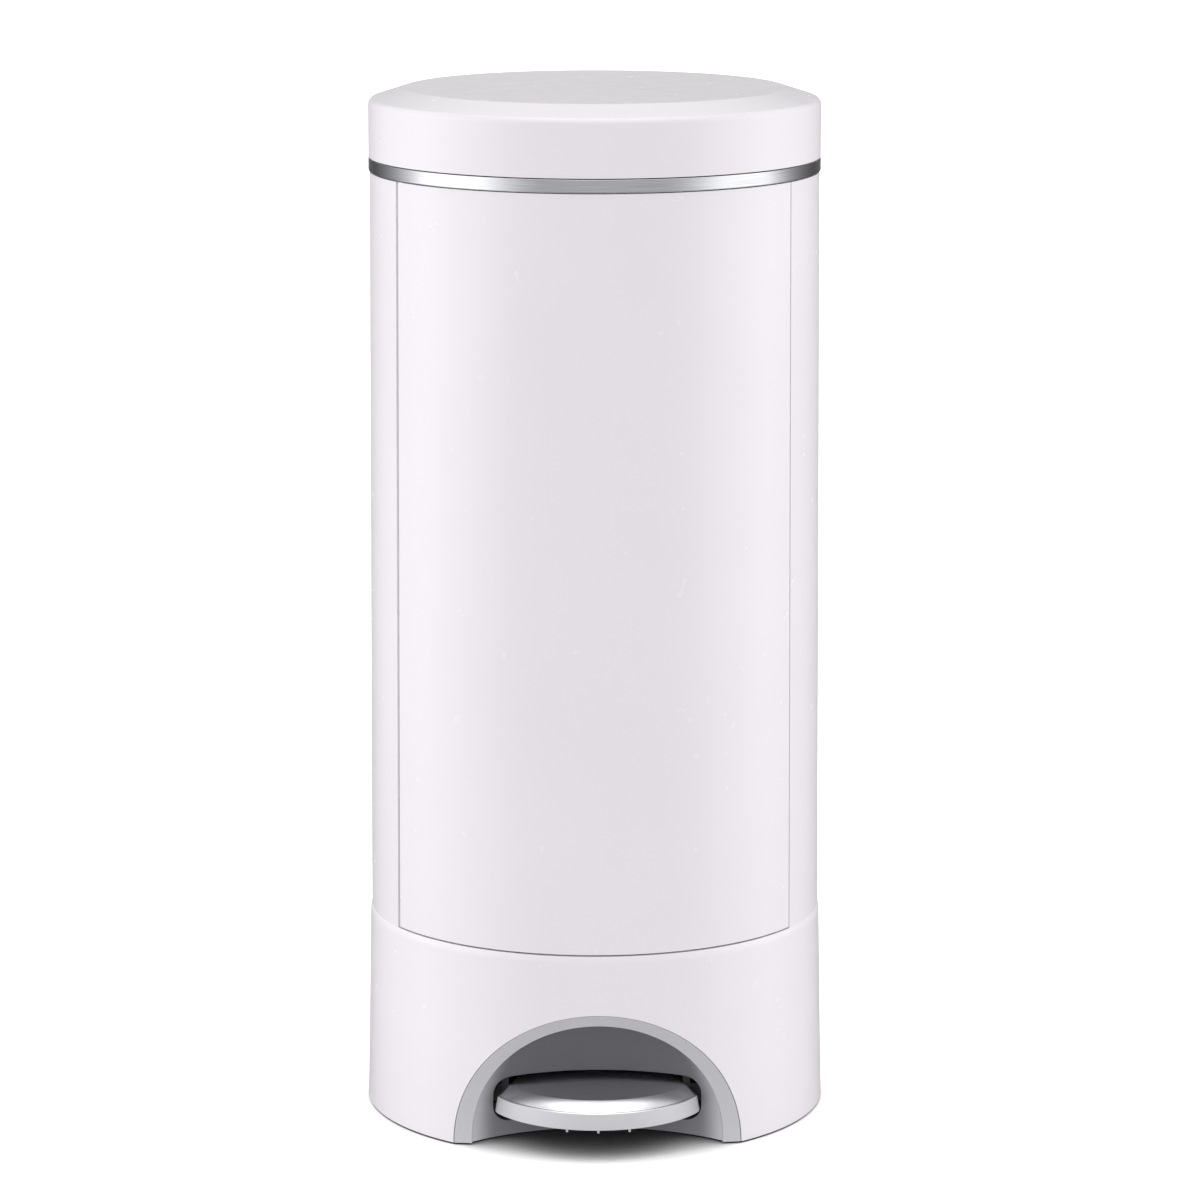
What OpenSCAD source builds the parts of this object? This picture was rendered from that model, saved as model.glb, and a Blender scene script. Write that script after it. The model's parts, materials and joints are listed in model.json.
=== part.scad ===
// Step-on nappy bin. A round body with a full-height front door stands on a base with a pedal
// under an arch. The pedal's lever lifts a push rod at the back, which opens the lid. Under the
// lid a funnel leads through two sprung flaps into the waste chamber.
// The origin is at the centre of the footprint on the floor, +Z is up and the pedal is at -Y.

/* [Base] */
// Height of the base from the floor to its joint with the body
base_h = 140.7; // [125:0.1:160]
// Outer radius of the base at the floor
base_foot_r = 160.5; // [159:0.1:164]
// Outer radius of the base under its rounded shoulder
base_top_r = 158; // [157.6:0.1:158.8]
// Height of the rounded shoulder at the top of the base
shoulder_h = 6; // [3:0.5:10]
// Width of that shoulder
shoulder_w = 0.8; // [0.4:0.1:1.5]
// Wall of the base
base_wall = 3.2; // [2.6:0.1:4]
// Thickness of the deck that closes the top of the base
deck_t = 3; // [2:0.5:5]
// Gap between the lower edge of the base and the floor
floor_gap = 1.2; // [0.8:0.1:2]
// Thickness of the plate that closes the base from below
plate_t = 3; // [2:0.5:5]
// Radius of a rubber foot
foot_r = 9; // [6:0.5:12]
// Thickness of a rubber foot
foot_t = 3; // [2.5:0.1:4]

/* [Pedal arch] */
// Radius of the arch cut into the base
arch_r = 98.5; // [94:0.5:104]
// Height of the centre of that arch
arch_z = 1; // [0:0.5:6]
// Radius of the mouth of the recess inside the bezel
mouth_r = 86; // [82:0.5:90]
// Height of the centre of the mouth
mouth_z = 4.7; // [1:0.1:8]
// How far the inner edge of the bezel lies behind the face of the base
bezel_depth = 6; // [3:0.5:9]
// Radius of the hollowed back wall of the recess
scoop_r = 131.6; // [125:0.1:140]
// Where the back wall is deepest, measured from the axis of the bin
scoop_back = 93; // [90:0.5:100]
// Wall of the recess moulding
well_wall = 2.5; // [2:0.1:3.5]
// Gap between the pedal's sides and the slot it comes through
slot_side_gap = 1.5; // [1:0.1:2.5]
// Gap between the pedal's top and the upper edge of that slot
slot_top_gap = 3.5; // [2.5:0.1:5]
// Rounding of the slot's corners
slot_corner = 12; // [8:0.5:13]
// Height of the lower edge of that slot
slot_low = 11; // [8:0.5:12]

/* [Pedal] */
// Half of the pedal's greatest width
pedal_half_w = 70; // [66:0.5:72]
// Distance from the axis of the bin to the front of the pedal
pedal_reach = 169; // [163:0.5:174]
// Radius of the pedal's front edge, seen from above
pedal_front_r = 77.5; // [76:0.5:90]
// Radius of the pedal's corners, seen from above
pedal_corner_r = 12; // [11.8:0.1:16]
// Half width of the pedal where it enters the slot
pedal_neck = 60; // [56:0.5:62]
// Height of the lower edge of the pedal's skirt
skirt_low = 24.5; // [23:0.5:26]
// Height of the pedal's top face
pedal_top = 41; // [40:0.5:42]
// Width of the pedal's bevelled rim
bevel_w = 11; // [8:0.5:11.5]
// Height of the bevelled rim
bevel_h = 5.3; // [3:0.1:7]
// Wall of the pedal cover
cover_wall = 2.4; // [1.8:0.1:3]
// How far the grip ribs reach below the skirt
rib_drop = 4.8; // [2:0.1:6]
// Distance between the grip ribs
rib_step = 21.2; // [15:0.1:25]

/* [Pedal lever and push rod] */
// Distance from the axis of the bin to the pedal's pivot, towards the front
pivot_y = 40; // [30:1:55]
// Height of the pedal's pivot
pivot_z = 32; // [30:0.5:34]
// Radius of the pivot pin
pivot_pin_r = 4; // [3:0.5:5]
// Outer radius of the lever's pivot tube
pivot_tube_r = 8; // [7:0.5:9]
// Half length of the pivot tube
pivot_tube_half = 60; // [50:1:64]
// Width of the lever's rear beam
beam_w = 20; // [18:1:28]
// Wall of the lever's ribs and beam
lever_wall = 3; // [2.5:0.5:4]
// Width of the push rod, across the bin
rod_w = 10; // [8:0.5:11]
// Thickness of the push rod, front to back
rod_t = 6; // [4:0.5:7]
// Radius of the two pins that drive the rod
drive_pin_r = 2.5; // [2:0.1:3]

/* [Body] */
// Height of the body from its joint with the base to its upper edge
body_h = 515.5; // [450:0.5:560]
// Outer radius of the body at its lower edge
body_bottom_r = 157; // [156:0.1:157.2]
// Outer radius of the body at its upper edge
body_top_r = 154.2; // [153.8:0.1:154.4]
// Wall of the body and of the door
body_wall = 3; // [2.4:0.1:3.6]
// Angle from the front to the door's hinge side
hinge_side = 59.3; // [50:0.1:62]
// Angle from the front to the door's free edge
free_side = 57.5; // [50:0.1:60]
// Gap under the door
door_lift = 1.1; // [0.8:0.1:2]
// Gap along the door's free edge
seam_gap = 1.2; // [0.8:0.1:2]
// Radius of the rounded bead along the door's hinge edge
bead_r = 2.6; // [2.4:0.1:3]
// Width of the groove between the hinge line and the shell
bead_groove = 3.8; // [3.7:0.1:5]
// Radius of the door's hinge pins
door_pin_r = 1.3; // [1:0.1:1.4]
// How far a door pin goes into the base and into the collar
door_pin_grip = 7; // [5:0.5:8]
// Number of ribs across the inside of the door
door_ribs = 6; // [4:1:8]
// Depth of the ribs and flanges inside the door
door_rib_depth = 9; // [6:0.5:10]

/* [Collar and trim ring] */
// Height of the trim ring
ring_h = 8.8; // [7:0.1:12]
// Outer radius of the trim ring
ring_r = 155; // [154.6:0.1:155.4]
// Thickness of the trim ring
ring_t = 1.1; // [0.8:0.1:1.3]
// Shadow gap under the trim ring
ring_gap_low = 0.8; // [0.6:0.1:1.2]
// Shadow gap between the trim ring and the lid
ring_gap_high = 0.7; // [0.5:0.1:1.2]
// Inner radius of the collar
collar_in_r = 131; // [130:0.5:133]
// Thickness of the collar's plate and walls
collar_t = 2.6; // [2:0.1:3.2]
// Number of ribs under the collar
collar_ribs = 24; // [12:1:36]

/* [Lid] */
// Outer radius of the lid
lid_r = 155; // [154.5:0.1:156]
// Height of the lid
lid_h = 46.7; // [42:0.1:60]
// Radius of the lid's flat top
lid_flat_r = 130; // [115:1:140]
// Drop of the sloping rim around the flat top
lid_bevel_h = 8; // [5:0.1:10]
// Rounding between the lid's side and its sloping rim
lid_edge_r = 4.5; // [2:0.1:6]
// Wall of the lid
lid_wall = 2.8; // [2.2:0.1:3.4]
// Height from the lid's lower edge to its inner panel
liner_lift = 9.5; // [9:0.1:14]
// Thickness of the inner panel
liner_t = 2.5; // [2:0.1:3]
// How far the lid opens, in degrees
lid_swing = 75; // [60:1:80]

/* [Lid hinge] */
// Distance from the side of the lid to the hinge axis
hinge_offset = 8; // [7.8:0.1:10]
// Height of the hinge axis above the lid's lower edge
hinge_lift = 1.5; // [1:0.1:2]
// Radius of the hinge knuckles
knuckle_r = 6; // [5:0.1:6.2]
// Radius of the hinge pin
hinge_pin_r = 2.5; // [2:0.1:3]
// Radius of the crank that the rod pushes
crank_r = 20; // [18:0.5:21]
// Half width of the lid's hinge arm
arm_half_w = 22; // [18:0.5:26]
// Width of one knuckle on the hinge bracket
cheek_w = 11.5; // [8:0.5:14]

/* [Funnel and flaps] */
// Inner radius of the funnel's throat
throat_r = 92; // [86:0.5:94]
// Height of the throat's straight part
throat_h = 28; // [22:0.5:32]
// Height of the funnel's cone
cone_h = 38; // [34:0.5:40]
// Inner radius of the funnel's mouth
funnel_r = 122; // [118:0.5:123]
// Wall of the funnel
funnel_wall = 2.5; // [2:0.1:3]
// Thickness of a flap
flap_t = 3; // [2:0.1:3.6]
// Gap between the funnel and the closed flaps
flap_gap = 0.6; // [0.4:0.1:1]
// Distance from the axis of the bin to a flap's hinge
flap_hinge_x = 99; // [98.5:0.1:101]
// Radius of a flap's hinge pin
flap_pin_r = 1.7; // [1.3:0.1:1.9]
// Radius of a flap's hinge barrel
flap_barrel_r = 3.5; // [3.3:0.1:3.8]
// Radius of the flap spring's wire
wire_r = 0.5; // [0.3:0.05:0.6]
// Number of coils of a flap spring
spring_coils = 6; // [4:1:8]

/* [Film cassette] */
// Inner radius of the cassette
cassette_in_r = 111; // [110:0.5:116]
// Outer radius of the cassette
cassette_out_r = 134; // [128:0.5:135]
// Height of the cassette
cassette_h = 34; // [28:0.5:36]
// Thickness of the shelf that carries it
shelf_t = 3; // [2:0.5:4]

/* [Fits] */
// Radial clearance between a pin and the bore that turns on it
pin_play = 0.05; // [0.03:0.01:0.08]
// Gap between parts that pass each other
part_gap = 0.5; // [0.4:0.1:0.7]
// Radius of the screws' shanks
screw_r = 1.5; // [1.2:0.1:1.8]
// Radius of the screws' heads
screw_head_r = 3; // [2.6:0.1:3.4]

/* [Hidden] */
$fn = 96;
pin_fn = 32;
eps = 0.01;
far = 400;

// Colours
body_white = "#E6E4E8";
inner_grey = "#A9ACB1";
bezel_silver = "#BDBEC3";
pedal_silver = "#D2D3D6";
ring_silver = "#B4B6BA";
lever_grey = "#6F7378";
steel = "#AEB2B6";
rubber_grey = "#3A3C3F";
film_blue = "#C7D6E2";

// Directions round the bin, in degrees from +X
front = 270;
rear = 90;
hinge_a = front - hinge_side;
free_a = front + free_side;

// Heights
plate_z = foot_t / 2;
plate_top = plate_z + plate_t;
body_top = base_h + body_h;
ring_z = body_top + ring_gap_low;
ring_top = ring_z + ring_h;
lid_z = ring_top + ring_gap_high;
lid_top = lid_z + lid_h;
liner_z = lid_z + liner_lift;
hinge_z = lid_z + hinge_lift;
door_z = base_h + door_lift;

// Radii that neighbours share
collar_r = ring_r - ring_t;
collar_low = body_top + ring_gap_low - 0.2;
seat_step = 0.2;
seat_r = max(base_top_r - shoulder_w, body_bottom_r + seat_step);
base_in_r = base_foot_r - base_wall;
taper = atan((body_bottom_r - body_top_r) / body_h);

// Linkage: the crank swings as far above the hinge's height as it starts below it
hinge_y = lid_r + hinge_offset;
half_swing = lid_swing / 2;
rod_travel = 2 * crank_r * sin(half_swing);
rod_y = hinge_y - crank_r * (1 + cos(half_swing)) / 2;
crank_y = hinge_y - crank_r * cos(half_swing);
crank_z = hinge_z - crank_r * sin(half_swing);
lever_back = rod_y + pivot_y;
pedal_swing = 2 * asin(rod_travel / 2 / lever_back);
drive_y = lever_back * cos(pedal_swing / 2) - pivot_y;
drive_z = pivot_z - rod_travel / 2;

// Rod heads: each slot lets its pin shift sideways while the rod goes straight up
slot_play = 0.45;
head_wall = 2.4;
slot_h = 2 * (drive_pin_r + slot_play);
crank_shift = crank_r * (1 - cos(half_swing));
slot_len = slot_h + crank_shift;
head_y = slot_len + 2 * head_wall;
head_z = slot_h + 2 * head_wall + 1;
fork_x = rod_w / 2 + part_gap;
fork_t = 4;
link_half = fork_x + fork_t;
pit_half = link_half + 2;
pit_y = rod_y - head_y / 2 - part_gap;

// Rod guide
guide_wall = 2;
guide_x = rod_w / 2 + 7;
guide_y = rod_y - rod_t / 2 - 2 * part_gap - guide_wall;

// Funnel and shelf
hopper_z = ring_top - cone_h - throat_h + 2.2;
cone_z = hopper_z + throat_h;
flange_t = 2.2;
flange_r = collar_in_r + 5;
rim_out_r = funnel_r + 4;
flap_top = hopper_z - flap_gap;
flap_r = throat_r + funnel_wall + 0.5;
flap_z = flap_top - flap_t / 2;
shelf_z = hopper_z + 0.5;
shelf_in_r = flap_hinge_x + 9;
shelf_out_r = guide_y - part_gap;

// Places on the base: screws, tabs of the well and feet
plate_screw_a = [20, 55, 125, 160, 200, 340];
plate_screw_r = base_in_r - 4.5;
plate_screw_sink = 1.6;
plate_screw_l = 14;
plate_boss_h = 24;
plate_rib_y = [-10, 60];
plate_rib_half = 100;
body_screw_a = [25, 65, 115, 155];
body_screw_r = body_bottom_r - body_wall - 5;
collar_screw_r = min(body_top_r - body_wall, collar_r - 2.7) - 3.5;
well_tab = [[-62, -95], [62, -95]];
well_tab_r = 7;
well_tab_t = 3;
well_step = 0.4;
foot_ring_r = base_in_r - 12.4;
foot_place = [for (a = [-35.5, 50.5], side = [1, -1]) foot_ring_r * [side * cos(a), sin(a)]];

// Outline of the pedal, seen from above
corner_x = pedal_half_w - pedal_corner_r;
corner_reach = pedal_front_r - pedal_corner_r;
front_y = -pedal_reach + pedal_front_r;
corner_y = front_y - sqrt(pow(corner_reach, 2) - pow(corner_x, 2));
corner_a = atan2(corner_y - front_y, corner_x);
neck_y = -scoop_back - 3;
pedal_back_y = -scoop_back + 9;
neck_vec = [pedal_neck - corner_x, neck_y - corner_y];
side_a = atan2(neck_vec[1], neck_vec[0]) - acos(pedal_corner_r / norm(neck_vec));

// Jambs, latch and screws of the body
shell_from = free_a + seam_gap / body_bottom_r * 180 / PI;
shell_to = hinge_a + 360 - bead_groove / body_bottom_r * 180 / PI;
latch_z = base_h + body_h / 2;
latch_half = 20;
lip_depth = body_wall + door_rib_depth + 0.4;
flange_a = 1.1;
door_rib_t = 2.2;
door_spare = 2;
magnet_t = 2.9;
strike_t = 1.2;
strike_depth = lip_depth - magnet_t - strike_t - 0.4;
body_boss_h = 20;
body_boss_r = 5;

// Webs that tie a boss to the wall behind it end this deep below the wall's outer face
web_sink = 1;
web_t = 3;

// Film cutter inside the door
cutter_z = shelf_z - 62;
cutter_half_a = 9;

// Screw through the lid's hinge arm
arm_screw = [(fork_x + fork_t + arm_half_w) / 2, rod_y - 1];

// Screws of the hinge bracket, measured from the middle and from the body's upper edge
bracket_screw_x = 26;
bracket_screw_drop = 22;

// Lid
lid_boss_r = 4.5;
lid_boss_place = 112;
lid_boss_a = [30, 90, 150, 210, 270, 330];
lid_screw_l = 10;
lid_in_r = lid_r - lid_wall;

// Seal between the lid and the funnel's rim
seal_in = funnel_r - 1.4;
seal_out = rim_out_r + 1.8;
groove_wall = 2;
rim_top = ring_top + 6.2;

// Flap hinges
lug_y = 20;
lug_t = 6;
barrel_half = lug_y - part_gap;
spring_half = 9;
flap_rib_y = 48;
flap_rib_half = 60;

// Outline of the wall that follows the body's taper
function body_r(z) = body_bottom_r - (z - base_h) * tan(taper);
function base_r(z) = base_foot_r
    - (base_foot_r - base_top_r) * (z - floor_gap) / (base_h - shoulder_h - floor_gap);
function arc_points(centre, radius, from, to, steps) =
    [for (i = [0:steps]) let (a = from + (to - from) * i / steps)
        centre + radius * [cos(a), sin(a)]];

// A stretch of wall between two depths below the body's outer face
module body_band(from, to, low, high, outer_depth, inner_depth) {
    rotate([0, 0, from]) rotate_extrude(angle = to - from)
        polygon([[body_r(low) - inner_depth, low], [body_r(low) - outer_depth, low],
                 [body_r(high) - outer_depth, high], [body_r(high) - inner_depth, high]]);
}

// The whole space inside the body, down to a depth below its outer face
module body_core(low, high, depth) {
    translate([0, 0, low])
        cylinder(r1 = body_r(low) - depth, r2 = body_r(high) - depth, h = high - low);
}

// The same inside the base
module base_core(low, high, depth) {
    translate([0, 0, low])
        cylinder(r1 = base_r(low) - depth, r2 = base_r(high) - depth, h = high - low);
}

module ring(outer, inner, low, high) {
    rotate_extrude() translate([inner, low]) square([outer - inner, high - low]);
}

// A box centred across the bin
module slab(half_x, y0, y1, z0, z1) {
    translate([-half_x, y0, z0]) cube([2 * half_x, y1 - y0, z1 - z0]);
}

// A cylinder across the bin, centred on x = 0
module cross_pin(radius, half, y, z) {
    translate([-half, y, z]) rotate([0, 90, 0]) cylinder(r = radius, h = 2 * half, $fn = pin_fn);
}

// Places its children along the door's hinge line, which leans in with the body's taper
module on_hinge_line(z) {
    rotate([0, 0, hinge_a]) translate([body_r(z) - bead_r, 0, z]) rotate([0, -taper, 0])
        children();
}

// A screw with its head at the origin and its shank along +Z
module screw(length) {
    difference() {
        union() {
            cylinder(r = screw_r, h = length, $fn = pin_fn);
            translate([0, 0, -2]) cylinder(r = screw_head_r, h = 2, $fn = pin_fn);
        }
        for (turn = [0, 90])
            rotate([0, 0, turn]) translate([-screw_r, -0.35, -2 - eps]) cube([2 * screw_r, 0.7, 1.2]);
    }
}

// ---------------------------------------------------------------- base

module arch_tunnel(radius, centre_z) {
    translate([0, 0, centre_z]) rotate([90, 0, 0]) cylinder(r = radius, h = far);
}

module base_housing() {
    deck_low = base_h - deck_t;
    shoulder_z = base_h - shoulder_h;
    shoulder_steps = 6;
    outline = concat([[base_foot_r, floor_gap]],
        [for (i = [0:shoulder_steps]) let (t = i / shoulder_steps)
            [base_top_r - (base_top_r - seat_r) * pow(t, 2), shoulder_z + shoulder_h * t]],
        [[0, base_h], [0, deck_low], [base_top_r - base_wall, deck_low],
         [base_foot_r - base_wall, floor_gap]]);
    boss_r = 4.5;
    guide_drop = 22;
    color(body_white) difference() {
        union() {
            rotate_extrude($fn = 180) polygon(outline);
            // ring that centres the shell
            body_band(free_a + 6, hinge_a - 6 + 360, deck_low, base_h + 6, body_wall + 0.2, body_wall + 2.4);
            for (a = plate_screw_a) rotate([0, 0, a]) intersection() {
                translate([plate_screw_r, 0, plate_top]) {
                    cylinder(r = boss_r, h = plate_boss_h, $fn = pin_fn);
                    translate([0, -web_t / 2, 0]) cube([far, web_t, plate_boss_h]);
                }
                base_core(plate_top, plate_top + plate_boss_h, web_sink);
            }
            // seat of the door's lower pin
            rotate([0, 0, hinge_a]) translate([body_bottom_r - bead_r - 1, 0, base_h - door_pin_grip - 3])
                cylinder(r = 3.2, h = door_pin_grip + 3 - eps, $fn = pin_fn);
            // walls that carry the rod's lower guide
            for (side = [-1, 1]) intersection() {
                translate([side * (rod_w / 2 + part_gap + web_t / 2) - web_t / 2, rod_y - 12,
                           base_h - guide_drop])
                    cube([web_t, 22, guide_drop - deck_t / 2]);
                base_core(base_h - guide_drop, base_h, web_sink);
            }
        }
        arch_tunnel(arch_r + 0.3, arch_z);
        slab(rod_w / 2 + part_gap, rod_y - rod_t / 2 - part_gap, rod_y + rod_t / 2 + part_gap,
             base_h - guide_drop - 8, base_h + 1);
        on_hinge_line(base_h) translate([0, 0, -door_pin_grip - 0.5])
            cylinder(r = door_pin_r + pin_play, h = door_pin_grip + 2, $fn = pin_fn);
        for (a = plate_screw_a) rotate([0, 0, a]) translate([plate_screw_r, 0, 0])
            cylinder(r = screw_r, h = plate_top + 16, $fn = pin_fn);
        for (a = body_screw_a) rotate([0, 0, a]) translate([body_screw_r, 0, base_h - deck_t - 1])
            cylinder(r = screw_r, h = deck_t + 2, $fn = pin_fn);
    }
}

// One slice of the bezel, as points that run round its section. The depths are measured
// from the face of the base.
function bezel_point(angle, radius, centre_z, depth) =
    let (x = radius * cos(angle), z = centre_z + radius * sin(angle))
    [x, -sqrt(pow(base_r(z) - depth, 2) - x * x), z];

function bezel_slice(angle) =
    let (wall = base_wall + 0.15, span = arch_r - mouth_r, drop = arch_z - mouth_z)
    [for (p = [[1, 0.9], [0.97, 0.35], [0.9, 0.7], [0.12, bezel_depth - 0.5], [0.03, bezel_depth - 0.1],
               [0, bezel_depth + 0.8], [0, bezel_depth + 8], [0.36, bezel_depth + 8], [0.42, wall + 4],
               [1.3, wall + 2.2], [1.3, wall], [1, wall]])
        bezel_point(angle, mouth_r + p[0] * span, mouth_z + min(p[0], 1) * drop, p[1])];

module bezel() {
    steps = 56;
    slices = [for (i = [0:steps]) bezel_slice(-6 + 192 * i / steps)];
    count = len(slices[0]);
    points = [for (s = slices) each s];
    sides = [for (i = [0:steps - 1], j = [0:count - 1])
        let (a = i * count + j, b = i * count + (j + 1) % count)
        each [[a, b, b + count], [a, b + count, a + count]]];
    first = [for (j = [count - 1:-1:0]) j];
    last = [for (j = [0:count - 1]) steps * count + j];
    polyhedron(points, concat(sides, [first, last]), convexity = 6);
}

module scoop_space(grow) {
    intersection() {
        arch_tunnel(mouth_r + well_step + grow, mouth_z);
        translate([0, -scoop_back - scoop_r, mouth_z]) sphere(r = scoop_r + grow);
    }
}

// A slot seen from the front, with round corners made of true arcs
module slot_outline(half_w, low, high, corner) {
    translate([-half_w + corner, low]) square([2 * (half_w - corner), high - low]);
    translate([-half_w, low + corner]) square([2 * half_w, high - low - 2 * corner]);
    for (x = [-1, 1], z = [low + corner, high - corner])
        translate([x * (half_w - corner), z]) circle(r = corner, $fn = pin_fn);
}

module pedal_well() {
    color(bezel_silver) difference() {
        union() {
            bezel();
            difference() {
                union() {
                    intersection() {
                        scoop_space(well_wall);
                        base_core(-10, base_h, bezel_depth + 2);
                    }
                    for (p = well_tab) translate([p[0], p[1], plate_top]) {
                        cylinder(r = well_tab_r, h = well_tab_t, $fn = pin_fn);
                        translate([-well_tab_r, -16, 0]) cube([2 * well_tab_r, 16, well_tab_t]);
                    }
                }
                scoop_space(0);
            }
        }
        translate([0, -scoop_back + 30, 0]) rotate([90, 0, 0]) linear_extrude(60)
            slot_outline(pedal_half_w + slot_side_gap, slot_low, pedal_top + slot_top_gap, slot_corner);
        translate([-far / 2, -far, -20]) cube([far, far, 20 + floor_gap]);
        for (p = well_tab) translate([p[0], p[1], 0])
            cylinder(r = screw_r + 0.2, h = 20, $fn = pin_fn);
    }
}

module base_plate() {
    cheek_x = pivot_tube_half + 1;
    cheek_t = 5;
    color(inner_grey) difference() {
        union() {
            difference() {
                union() {
                    translate([0, 0, plate_z])
                        cylinder(r = base_in_r - 0.4, h = plate_t, $fn = 180);
                    ring(base_in_r - 12, base_in_r - 14, plate_z, plate_top + 5);
                }
                scoop_space(well_wall + part_gap);
                // room for the lip of the bezel, along the wall only
                difference() {
                    arch_tunnel(arch_r + 5.5, arch_z);
                    cylinder(r = base_in_r - 11, h = base_h);
                }
            }
            // tongue under the tabs of the well
            for (p = well_tab) translate([p[0], p[1], plate_z])
                cylinder(r = well_tab_r, h = plate_t, $fn = pin_fn);
            // cheeks of the pedal's pivot, each with a gusset
            for (side = [-1, 1]) translate([side * (cheek_x + cheek_t / 2), -pivot_y, plate_z]) {
                translate([-cheek_t / 2, -9, 0]) cube([cheek_t, 18, pivot_z - plate_z]);
                translate([-cheek_t / 2, 0, pivot_z - plate_z]) rotate([0, 90, 0])
                    cylinder(r = 9, h = cheek_t, $fn = pin_fn);
                translate([side > 0 ? 0 : -14, -1.5, 0]) cube([14, 3, pivot_z / 2]);
            }
            for (y = plate_rib_y) slab(plate_rib_half, y - 1, y + 1, plate_z, plate_top + 4);
        }
        cross_pin(pivot_pin_r, cheek_x + cheek_t + 1, -pivot_y, pivot_z);
        slab(beam_w / 2 + 3, -pivot_y, rod_y + 12, plate_top, plate_top + 20);
        for (a = plate_screw_a) rotate([0, 0, a]) translate([plate_screw_r, 0, 0]) {
            cylinder(r = screw_r + 0.2, h = plate_top + 1, $fn = pin_fn);
            cylinder(r = screw_head_r + 0.4, h = plate_z + plate_screw_sink, $fn = pin_fn);
        }
        for (p = foot_place) translate([p[0], p[1], 0]) {
            cylinder(r = foot_r + 0.2, h = foot_t, $fn = pin_fn);
        }
        for (p = well_tab) translate([p[0], p[1], 0]) cylinder(r = screw_r, h = 20, $fn = pin_fn);
    }
}

module rubber_feet() {
    color(rubber_grey) for (p = foot_place) translate([p[0], p[1], 0]) {
        cylinder(r1 = foot_r - 0.8, r2 = foot_r, h = 0.8, $fn = pin_fn);
        translate([0, 0, 0.8]) cylinder(r = foot_r, h = foot_t - 0.8, $fn = pin_fn);
    }
}

module base_screws() {
    color(steel) {
        for (a = plate_screw_a) rotate([0, 0, a]) translate([plate_screw_r, 0, plate_z + plate_screw_sink])
            screw(plate_screw_l);
        for (p = well_tab) translate([p[0], p[1], plate_top + well_tab_t]) rotate([180, 0, 0])
            screw(plate_t + 2);
    }
}

// ---------------------------------------------------------------- pedal, lever and rod

module pedal_pivot_pin() {
    half = pivot_tube_half + 6;
    color(steel) difference() {
        cross_pin(pivot_pin_r, half, -pivot_y, pivot_z);
        for (side = [-1, 1]) translate([side * (half + 0.3), -pivot_y, pivot_z])
            rotate([0, 90, 0]) cylinder(r = 1.2, h = 2, center = true, $fn = pin_fn);
    }
}

// The pedal seen from above: a wide front arc, two corner arcs and sides that draw in
// towards the slot. The outline is drawn in by inset all round except at the back.

function half_outline(inset) = concat(
    [for (i = [0:12]) let (a = -90 + (90 + corner_a) * i / 12)
        [(pedal_front_r - inset) * cos(a), front_y + (pedal_front_r - inset) * sin(a)]],
    [for (i = [1:6]) let (a = corner_a + (side_a - corner_a) * i / 6)
        [corner_x + (pedal_corner_r - inset) * cos(a), corner_y + (pedal_corner_r - inset) * sin(a)]],
    [[pedal_neck - inset, neck_y], [pedal_neck - inset, pedal_back_y]]);

function pedal_loop(inset, z) = let (half = half_outline(inset), n = len(half)) concat(
    [for (p = half) [p[0], p[1], z]],
    [for (i = [n - 1:-1:1]) [-half[i][0], half[i][1], z]]);

// A solid skinned over loops of equal length, given from the lowest to the highest
module skin(loops) {
    count = len(loops[0]);
    points = [for (l = loops) each l];
    sides = [for (i = [0:len(loops) - 2], j = [0:count - 1])
        let (a = i * count + j, b = i * count + (j + 1) % count)
        each [[a, a + count, b + count], [a, b + count, b]]];
    low = [for (j = [0:count - 1]) j];
    high = [for (j = [count - 1:-1:0]) (len(loops) - 1) * count + j];
    polyhedron(points, concat(sides, [low, high]), convexity = 6);
}

module pedal_cover() {
    bevel_low = pedal_top - bevel_h;
    grip_rib_t = 1.6;
    grip_rib_l = 14;
    color(pedal_silver) {
        difference() {
            skin([pedal_loop(0.5, skirt_low), pedal_loop(0, skirt_low + 0.6), pedal_loop(0, bevel_low - 0.8),
                  pedal_loop(0.5, bevel_low - 0.3), pedal_loop(1.2, bevel_low - 0.2),
                  pedal_loop(1.7, bevel_low + 0.3), pedal_loop(bevel_w - 1.5, pedal_top - 0.5),
                  pedal_loop(bevel_w, pedal_top)]);
            skin([pedal_loop(cover_wall, skirt_low - 1), pedal_loop(cover_wall, bevel_low - 1.5),
                  pedal_loop(bevel_w - 0.3, pedal_top - cover_wall)]);
            slab(far, pedal_back_y - 3, 0, 0, far);
        }
        // grip ribs across the front of the skirt, inside it and a little below
        for (i = [-1:1]) translate([i * rib_step - grip_rib_t / 2, -pedal_reach + cover_wall - 0.6,
                                    skirt_low - rib_drop])
            cube([grip_rib_t, grip_rib_l, rib_drop + 8]);
    }
}

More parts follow.
